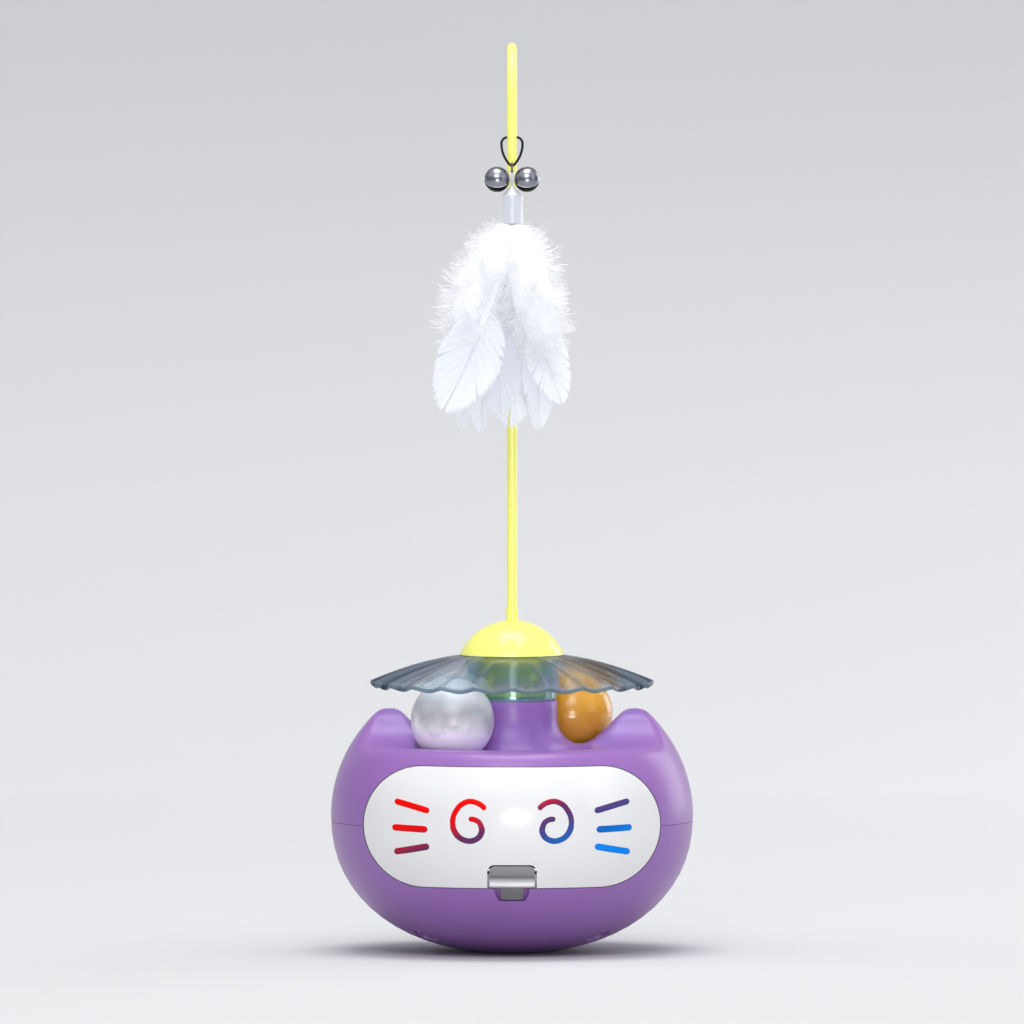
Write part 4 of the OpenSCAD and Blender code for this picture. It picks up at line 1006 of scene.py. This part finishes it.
def vane_mesh(name, plan, material):
    """Quill and the two flat halves of a vane, with splits between its barbs."""
    chance = np.random.default_rng(plan["seed"])
    rows, columns, splits, barb_rows = 120, 9, 3, 60
    ragged, notch, deepest = 0.012, 0.008, 0.45  # uneven edge, and a split's width and depth
    root_a, turn_a, sweep, cup = 20, 68, 0.22, 0.16  # barbs' slant, its growth, their bend and droop
    root_t, loss_t, quill_r = 0.16, 0.10, 0.5
    u = np.linspace(plan["start"], plan["end"], rows)
    spot, along, side, out = (part[:, None] for part in quill_frame(plan, u))
    share = np.linspace(0, 1, rows)
    width = plan["vane"] * np.interp(
        share, [0, 0.12, 0.35, 0.6, 0.8, 0.93, 1], [0.5, 0.75, 0.97, 1.0, 0.95, 0.82, 0.7])
    points, faces, lines = [], [], []
    for s in (-1, 1):
        reach = width * (1 + ragged * chance.standard_normal(rows))
        lift = np.zeros(rows)
        for split in chance.uniform(0.1, 0.9, splits):
            near = np.exp(-((share - split) / notch) ** 2)
            reach *= 1 - chance.uniform(0.1, deepest) * near
            lift += np.where(share > split, chance.uniform(-0.4, 0.4), 0)
        reach, lift = reach[:, None, None], lift[:, None, None]
        v = np.linspace(0, 1, columns)[None, :, None]
        slant = np.radians(root_a + turn_a * share ** 1.6)[:, None, None]
        barb = s * np.cos(slant) * side + np.sin(slant) * along
        grid = spot + barb * (reach * v) + along * (sweep * reach * v * v)
        grid = grid - out * (cup * reach * v * v) + out * lift * v
        grid = clear_of_cane(grid.reshape(-1, 3)).reshape(grid.shape)
        thick = (root_t - loss_t * v) / 2
        first, layer = len(points), rows * columns
        points += list((grid + out * thick).reshape(-1, 3))
        points += list((grid - out * thick).reshape(-1, 3))
        lines += list(np.repeat(share * barb_rows, columns)) * 2
        flat = grid_faces(rows, columns)
        faces += [tuple(first + k for k in f) for f in flat]
        faces += [tuple(first + layer + k for k in reversed(f)) for f in flat]
        index = np.arange(layer).reshape(rows, columns)
        rim = [*index[0], *index[1:, -1], *index[-1, -2::-1], *index[-2:0:-1, 0]]
        for k, j in zip(rim, rim[1:] + rim[:1]):
            faces.append((first + k, first + layer + k, first + layer + j, first + j))
    k = np.concatenate([np.linspace(-0.9, -0.05, 6), np.linspace(0, plan["end"] - 0.01, 60)])
    radius = quill_r * (1 - 0.75 * np.clip(k, 0, 1))
    first, sides = len(points), 8
    for centre, _, across, outward, r in zip(*quill_frame(plan, k), radius):
        for a in (TURN * j / sides for j in range(sides)):
            points.append(centre + r * (math.cos(a) * across + math.sin(a) * outward))
            lines.append(0.0)
    faces += [tuple(first + n for n in f) for f in tube_faces(len(k), sides)]
    obj = closed_object(name, points, faces, material)
    point_attribute(obj.data, "barb_line", lines)
    return obj


def core_reach(plan, u):
    """How far the dense down stands off the quill, sideways and outwards."""
    size = np.interp(u, [-0.02, 0.02, 0.08, 0.16, 0.32, 0.46, 0.56, 0.62],
                     [0.28, 0.5, 0.78, 0.95, 1.0, 0.86, 0.52, 0.06])
    return plan["down"] * size, plan["down"] * size * 0.72


def core_mesh(name, plan, material):
    """Dense down round the quill: a plump, lumpy closed plume."""
    chance = np.random.default_rng(plan["seed"] + 100)
    rows, sides, lump_count = 64, 40, 26
    u = np.linspace(*DOWN_SPAN, rows)
    spot, along, side, out = (part[:, None] for part in quill_frame(plan, u))
    wide, thick = (0.86 * reach[:, None] for reach in core_reach(plan, u))
    turn = np.arange(sides) * TURN / sides
    lumps = np.ones((rows, sides))
    for _ in range(lump_count):
        level, face = chance.uniform(0, 0.66), chance.uniform(0, TURN)
        gap = np.angle(np.exp(1j * (turn - face)))[None, :]
        lumps += chance.uniform(-0.16, 0.2) * np.exp(-((u[:, None] - level) / 0.035) ** 2 - (gap / 0.5) ** 2)
    points = spot + side * (wide * np.cos(turn) * lumps)[:, :, None] \
        + out * (thick * np.sin(turn) * lumps)[:, :, None] + along * (1.2 * (lumps - 1))[:, :, None]
    points = clear_of_cane(points.reshape(-1, 3))
    return closed_object(name, points, tube_faces(rows, sides), material)


def clear_of_cane(points):
    """Keeps down in front of the cane."""
    points = np.array(points)
    points[:, 1] = smooth_min(points[:, 1], CANE_Y, CANE_SOFT)
    return points


def barb_mesh(name, plan, material):
    """Loose down round a plume: each point carries a turn and a length, and gets one barb."""
    settings = bpy.context.scene.toy_feathers
    chance = np.random.default_rng(plan["seed"] + settings.seed)
    count = plan["count"]
    tufts = count // TUFT
    tuft = np.sort(chance.integers(0, tufts, count))

    def shared(draw, spread):
        """A draw for each tuft, with a little spread among its barbs."""
        return draw(tufts)[tuft] + spread * chance.standard_normal(count)

    u = np.clip(shared(lambda n: chance.uniform(-0.01, 0.62, n), 0.012), -0.02, 0.64)
    far = shared(lambda n: chance.uniform(0.5, plan["end"] - 0.04, n), 0.01)
    u = np.where(tuft % STRAY == 0, far, u)
    spot, along, side, out = quill_frame(plan, u)
    round_a = shared(lambda n: chance.uniform(0, TURN, n), 0.16)
    wide, thick = core_reach(plan, u)
    spread = np.cos(round_a)[:, None] * side
    away = np.sin(round_a)[:, None] * out
    spot = clear_of_cane(spot + 0.74 * (spread * wide[:, None] + away * thick[:, None]))
    lean = shared(lambda n: chance.normal(0.75, 0.55, n), 0.14)
    lean = np.where(u < 0.06, np.abs(lean) + 0.2, lean)
    stir = np.stack([shared(lambda n: 0.3 * chance.standard_normal(n), 0.1) for _ in range(3)], 1)
    ray = unit(spread + away + lean[:, None] * along + stir)
    fade = np.interp(u, [-0.02, 0.05, 0.2, 0.5, 0.64, 0.95], [0.45, 0.7, 1.0, 0.95, 0.8, 0.6])
    reach = settings.barb_length / MM * fade * shared(lambda n: chance.uniform(0.55, 1.15, n), 0.12)
    reach = np.clip(reach, 1.5, 14)
    room = np.clip((BARB_Y - spot[:, 1]) / np.maximum(ray[:, 1] * reach, 0.01), 0.15, 1)
    reach = np.where(ray[:, 1] > 0, reach * room, reach)
    curl = np.stack([chance.standard_normal(tufts)[tuft] for _ in range(3)], 1)
    curl = curl + 0.3 * chance.standard_normal((count, 3)) + np.array((0, 0, 0.6))
    bend = unit(np.cross(np.cross(ray, curl), ray))
    third = np.cross(ray, bend)
    turn = [Matrix((b, t, r)).transposed().to_quaternion() for b, t, r in zip(bend, third, ray)]
    mesh = bpy.data.meshes.new(name)
    mesh.from_pydata([tuple(p) for p in spot * MM], [], [])
    point_attribute(mesh, "turn", [tuple(q) for q in turn], "QUATERNION")
    point_attribute(mesh, "reach", reach * MM)
    obj = new_object(name, mesh)
    group = barb_group()
    change = obj.modifiers.new("barbs", "NODES")
    change.node_group = group
    values = {"Barb radius": settings.barb_radius / settings.barb_length,
              "Seed": settings.seed + plan["seed"], "Material": material}
    for item in group.interface.items_tree:
        if item.item_type == "SOCKET" and item.in_out == "INPUT" and item.name in values:
            change[item.identifier] = values[item.name]
    bake(obj)
    return obj


def barb_group():
    """Geometry nodes: one of three curled barbs on each point."""
    if "loose_barbs" in bpy.data.node_groups:
        return bpy.data.node_groups["loose_barbs"]
    group, start = new_group("GeometryNodeTree", "loose_barbs", {
        "Geometry": "Geometry", "Barb radius": "Float", "Seed": "Int", "Material": "Material"},
        {"Geometry": "Geometry"})
    ring = add_node(group, "GeometryNodeCurvePrimitiveCircle", {
        "Resolution": 3, "Radius": start["Barb radius"]}).outputs[0]
    along = add_node(group, "GeometryNodeSplineParameter").outputs["Factor"]
    taper = ranged(group, along, start=1.0, end=0.3)
    variants = add_node(group, "GeometryNodeGeometryToInstance")
    for middle, tip in (((0.20, 0.04, 0.5), (0.50, 0.0, 0.84)), ((-0.12, 0.12, 0.5), (0.26, 0.16, 0.93)),
                        ((0.28, -0.10, 0.45), (0.80, -0.14, 0.66))):
        hair = add_node(group, "GeometryNodeCurveQuadraticBezier", {
            "Resolution": 7, "Start": (0, 0, 0), "Middle": middle, "End": tip}).outputs[0]
        thin = add_node(group, "GeometryNodeSetCurveRadius", {"Curve": hair, "Radius": taper}).outputs[0]
        solid = add_node(group, "GeometryNodeCurveToMesh", {
            "Curve": thin, "Profile Curve": ring, "Fill Caps": True}).outputs[0]
        set_inputs(variants, {0: solid})
    pick = add_node(group, "FunctionNodeRandomValue", {4: 0, 5: 2, "Seed": start["Seed"]}, data_type="INT")
    place = add_node(group, "GeometryNodeInstanceOnPoints", {
        "Points": start["Geometry"], "Instance": variants.outputs[0], "Pick Instance": True,
        "Instance Index": pick.outputs[2]})
    for name, kind, target in (("turn", "QUATERNION", "Rotation"), ("reach", "FLOAT", "Scale")):
        read = add_node(group, "GeometryNodeInputNamedAttribute", {"Name": name}, data_type=kind)
        set_inputs(place, {target: next(o for o in read.outputs if o.enabled and o.name == "Attribute")})
    real = add_node(group, "GeometryNodeRealizeInstances", {0: place.outputs[0]}).outputs[0]
    smooth = add_node(group, "GeometryNodeSetShadeSmooth", {"Geometry": real}).outputs[0]
    paint = add_node(group, "GeometryNodeSetMaterial", {"Geometry": smooth, "Material": start["Material"]})
    add_node(group, "NodeGroupOutput", {"Geometry": paint.outputs[0]})
    return group


# ---------------------------------------------------------------- stage


class TOY_OT_stage(PieceOperator, bpy.types.Operator):
    """Pale floor and backdrop, soft light and the camera"""

    bl_idname = "toy.stage"
    bl_label = "Stage"

    def execute(self, context):
        scene = context.scene
        scene.view_settings.view_transform = "Standard"
        backdrop_mesh()
        scene.world = studio_world()
        for name, place, aim, size, power, tint in (
                ("key", (-0.08, -1.35, 1.25), (0, 0, 0.12), (0.9, 0.7), 10.5, (1, 0.99, 0.98)),
                ("front", (0.09, -1.7, 0.10), (0, 0, 0.08), (0.4, 0.32), 6.8, (1, 1, 1)),
                ("fill", (1.3, -0.7, 0.6), (0, 0, 0.1), (0.6, 0.9), 1.5, (0.97, 0.98, 1)),
                ("rim", (1.2, 1.1, 0.4), (0, 0, 0.08), (0.7, 1.3), 7.0, (1, 1, 1)),
                ("top", (0, -0.1, 1.5), (0, 0, 0), (0.8, 0.8), 12.5, (1, 1, 1))):
            lamp = bpy.data.lights.new(name, "AREA")
            lamp.shape, lamp.size, lamp.size_y, lamp.energy, lamp.color = "RECTANGLE", *size, power, tint
            point(new_object(name, lamp), Vector(place), Vector(aim) - Vector(place))
        scene.camera = photo_camera(scene.toy_stage)
        return {"FINISHED"}


def point(obj, place, direction):
    """Puts a lamp or the camera in its place, looking in a direction."""
    obj.location = place
    obj.rotation_euler = direction.to_track_quat("-Z", "Y").to_euler()


def photo_camera(settings):
    """Long lens at the photo's height and width of view."""
    view = bpy.data.cameras.new("photo_view")
    view.sensor_width = 36.0
    view.lens = view.sensor_width * settings.distance / settings.view_width
    view.clip_end = 50.0
    camera = new_object("photo_view", view)
    back = Vector((0, -math.cos(settings.elevation), math.sin(settings.elevation)))
    point(camera, Vector((0, 0, settings.aim_height)) + back * settings.distance, -back)
    return camera


def studio_world():
    """Even light from above that darkens to a grey band at the horizon."""
    world = bpy.data.worlds.new("studio")
    world.use_nodes = True
    tree = world.node_tree
    up = axes(tree, add_node(tree, "ShaderNodeTexCoord").outputs["Generated"])["Z"]
    stops = ((0.0, 0.34), (0.10, 0.24), (0.26, 0.30), (0.42, 0.85), (0.7, 1.0), (1.0, 1.0))
    color = ramped(tree, up, [(z, (0.96 * v, 0.97 * v, v)) for z, v in stops])
    set_inputs(tree.nodes["Background"], {"Color": color, "Strength": 0.85})
    return world


def backdrop_mesh():
    """Floor that sweeps up into a backdrop, in metres."""
    bend, back, front, half, top = 1.2, 1.0, -6.0, 6.0, 4.0
    line = [(front, 0.0), (-0.6, 0.0), (0.0, 0.0), (back, 0.0)]
    sweep = np.linspace(0.05, math.pi / 2, 24)
    line += [(back + bend * math.sin(t), bend - bend * math.cos(t)) for t in sweep]
    line.append((back + bend, top))
    xs = np.linspace(-half, half, 9)
    points = np.array([(x, y, z) for y, z in line for x in xs]) / MM
    obj = mesh_object("backdrop", points, grid_faces(len(line), len(xs)), backdrop_material())
    if obj.data.polygons[0].normal.z < 0:
        obj.data.flip_normals()
    return obj


def backdrop_material():
    """Greys by height in the picture, painted light that darkens the floor low down and the backdrop high
    up, seen from the front only.
    """
    material, tree, shader = blank_material("backdrop")
    place = axes(tree)
    rise = math.tan(bpy.context.scene.toy_stage.elevation)
    share = ranged(tree, calculate(tree, "MULTIPLY_ADD", place["Y"], rise, place["Z"]), -0.03, 0.35)
    # painted light: the greys darken towards the bottom and the top of the picture
    stops = ((0.0, 0.555), (0.07, 0.582), (0.13, 0.648), (0.17, 0.71), (0.21, 0.797), (0.26, 0.80),
             (0.5, 0.785), (0.75, 0.745), (1.0, 0.68))
    color = ramped(tree, share, [(up, (grey * 0.985, grey * 0.99, grey)) for up, grey in stops])
    set_inputs(shader, {"Base Color": color, "Roughness": 0.9, "Specular IOR Level": 0.1})
    behind = add_node(tree, "ShaderNodeNewGeometry").outputs["Backfacing"]
    show(tree, shader_mix(tree, behind, shader.outputs[0], see_through(tree)))
    return material


# ---------------------------------------------------------------- add-on


class TOY_PT_panel(bpy.types.Panel):
    """Lists the toy's pieces"""

    bl_idname = "TOY_PT_panel"
    bl_label = "Wobble toy"
    bl_space_type = "VIEW_3D"
    bl_region_type = "UI"
    bl_category = "Wobble toy"

    def draw(self, context):
        for settings in (context.scene.toy_colours, context.scene.toy_feathers, context.scene.toy_stage):
            box = self.layout.box()
            for name in settings.__annotations__:
                box.prop(settings, name)
        for operator in OPERATORS:
            self.layout.operator(operator.bl_idname)


SETTINGS = (("toy_colours", ToyColours), ("toy_feathers", ToyFeathers), ("toy_stage", ToyStage))
OPERATORS = (TOY_OT_stage, TOY_OT_shells, TOY_OT_fittings, TOY_OT_face, TOY_OT_latch, TOY_OT_balls,
             TOY_OT_turntable, TOY_OT_cane, TOY_OT_lure, TOY_OT_feathers)


def register():
    for name, group in SETTINGS:
        bpy.utils.register_class(group)
        setattr(bpy.types.Scene, name, PointerProperty(type=group))
    for item in (*OPERATORS, TOY_PT_panel):
        bpy.utils.register_class(item)


def unregister():
    for item in reversed((*OPERATORS, TOY_PT_panel)):
        bpy.utils.unregister_class(item)
    for name, group in reversed(SETTINGS):
        delattr(bpy.types.Scene, name)
        bpy.utils.unregister_class(group)


def main():
    register()
    for operator in OPERATORS:
        area, name = operator.bl_idname.split(".")
        getattr(getattr(bpy.ops, area), name)()


if __name__ == "__main__":
    main()
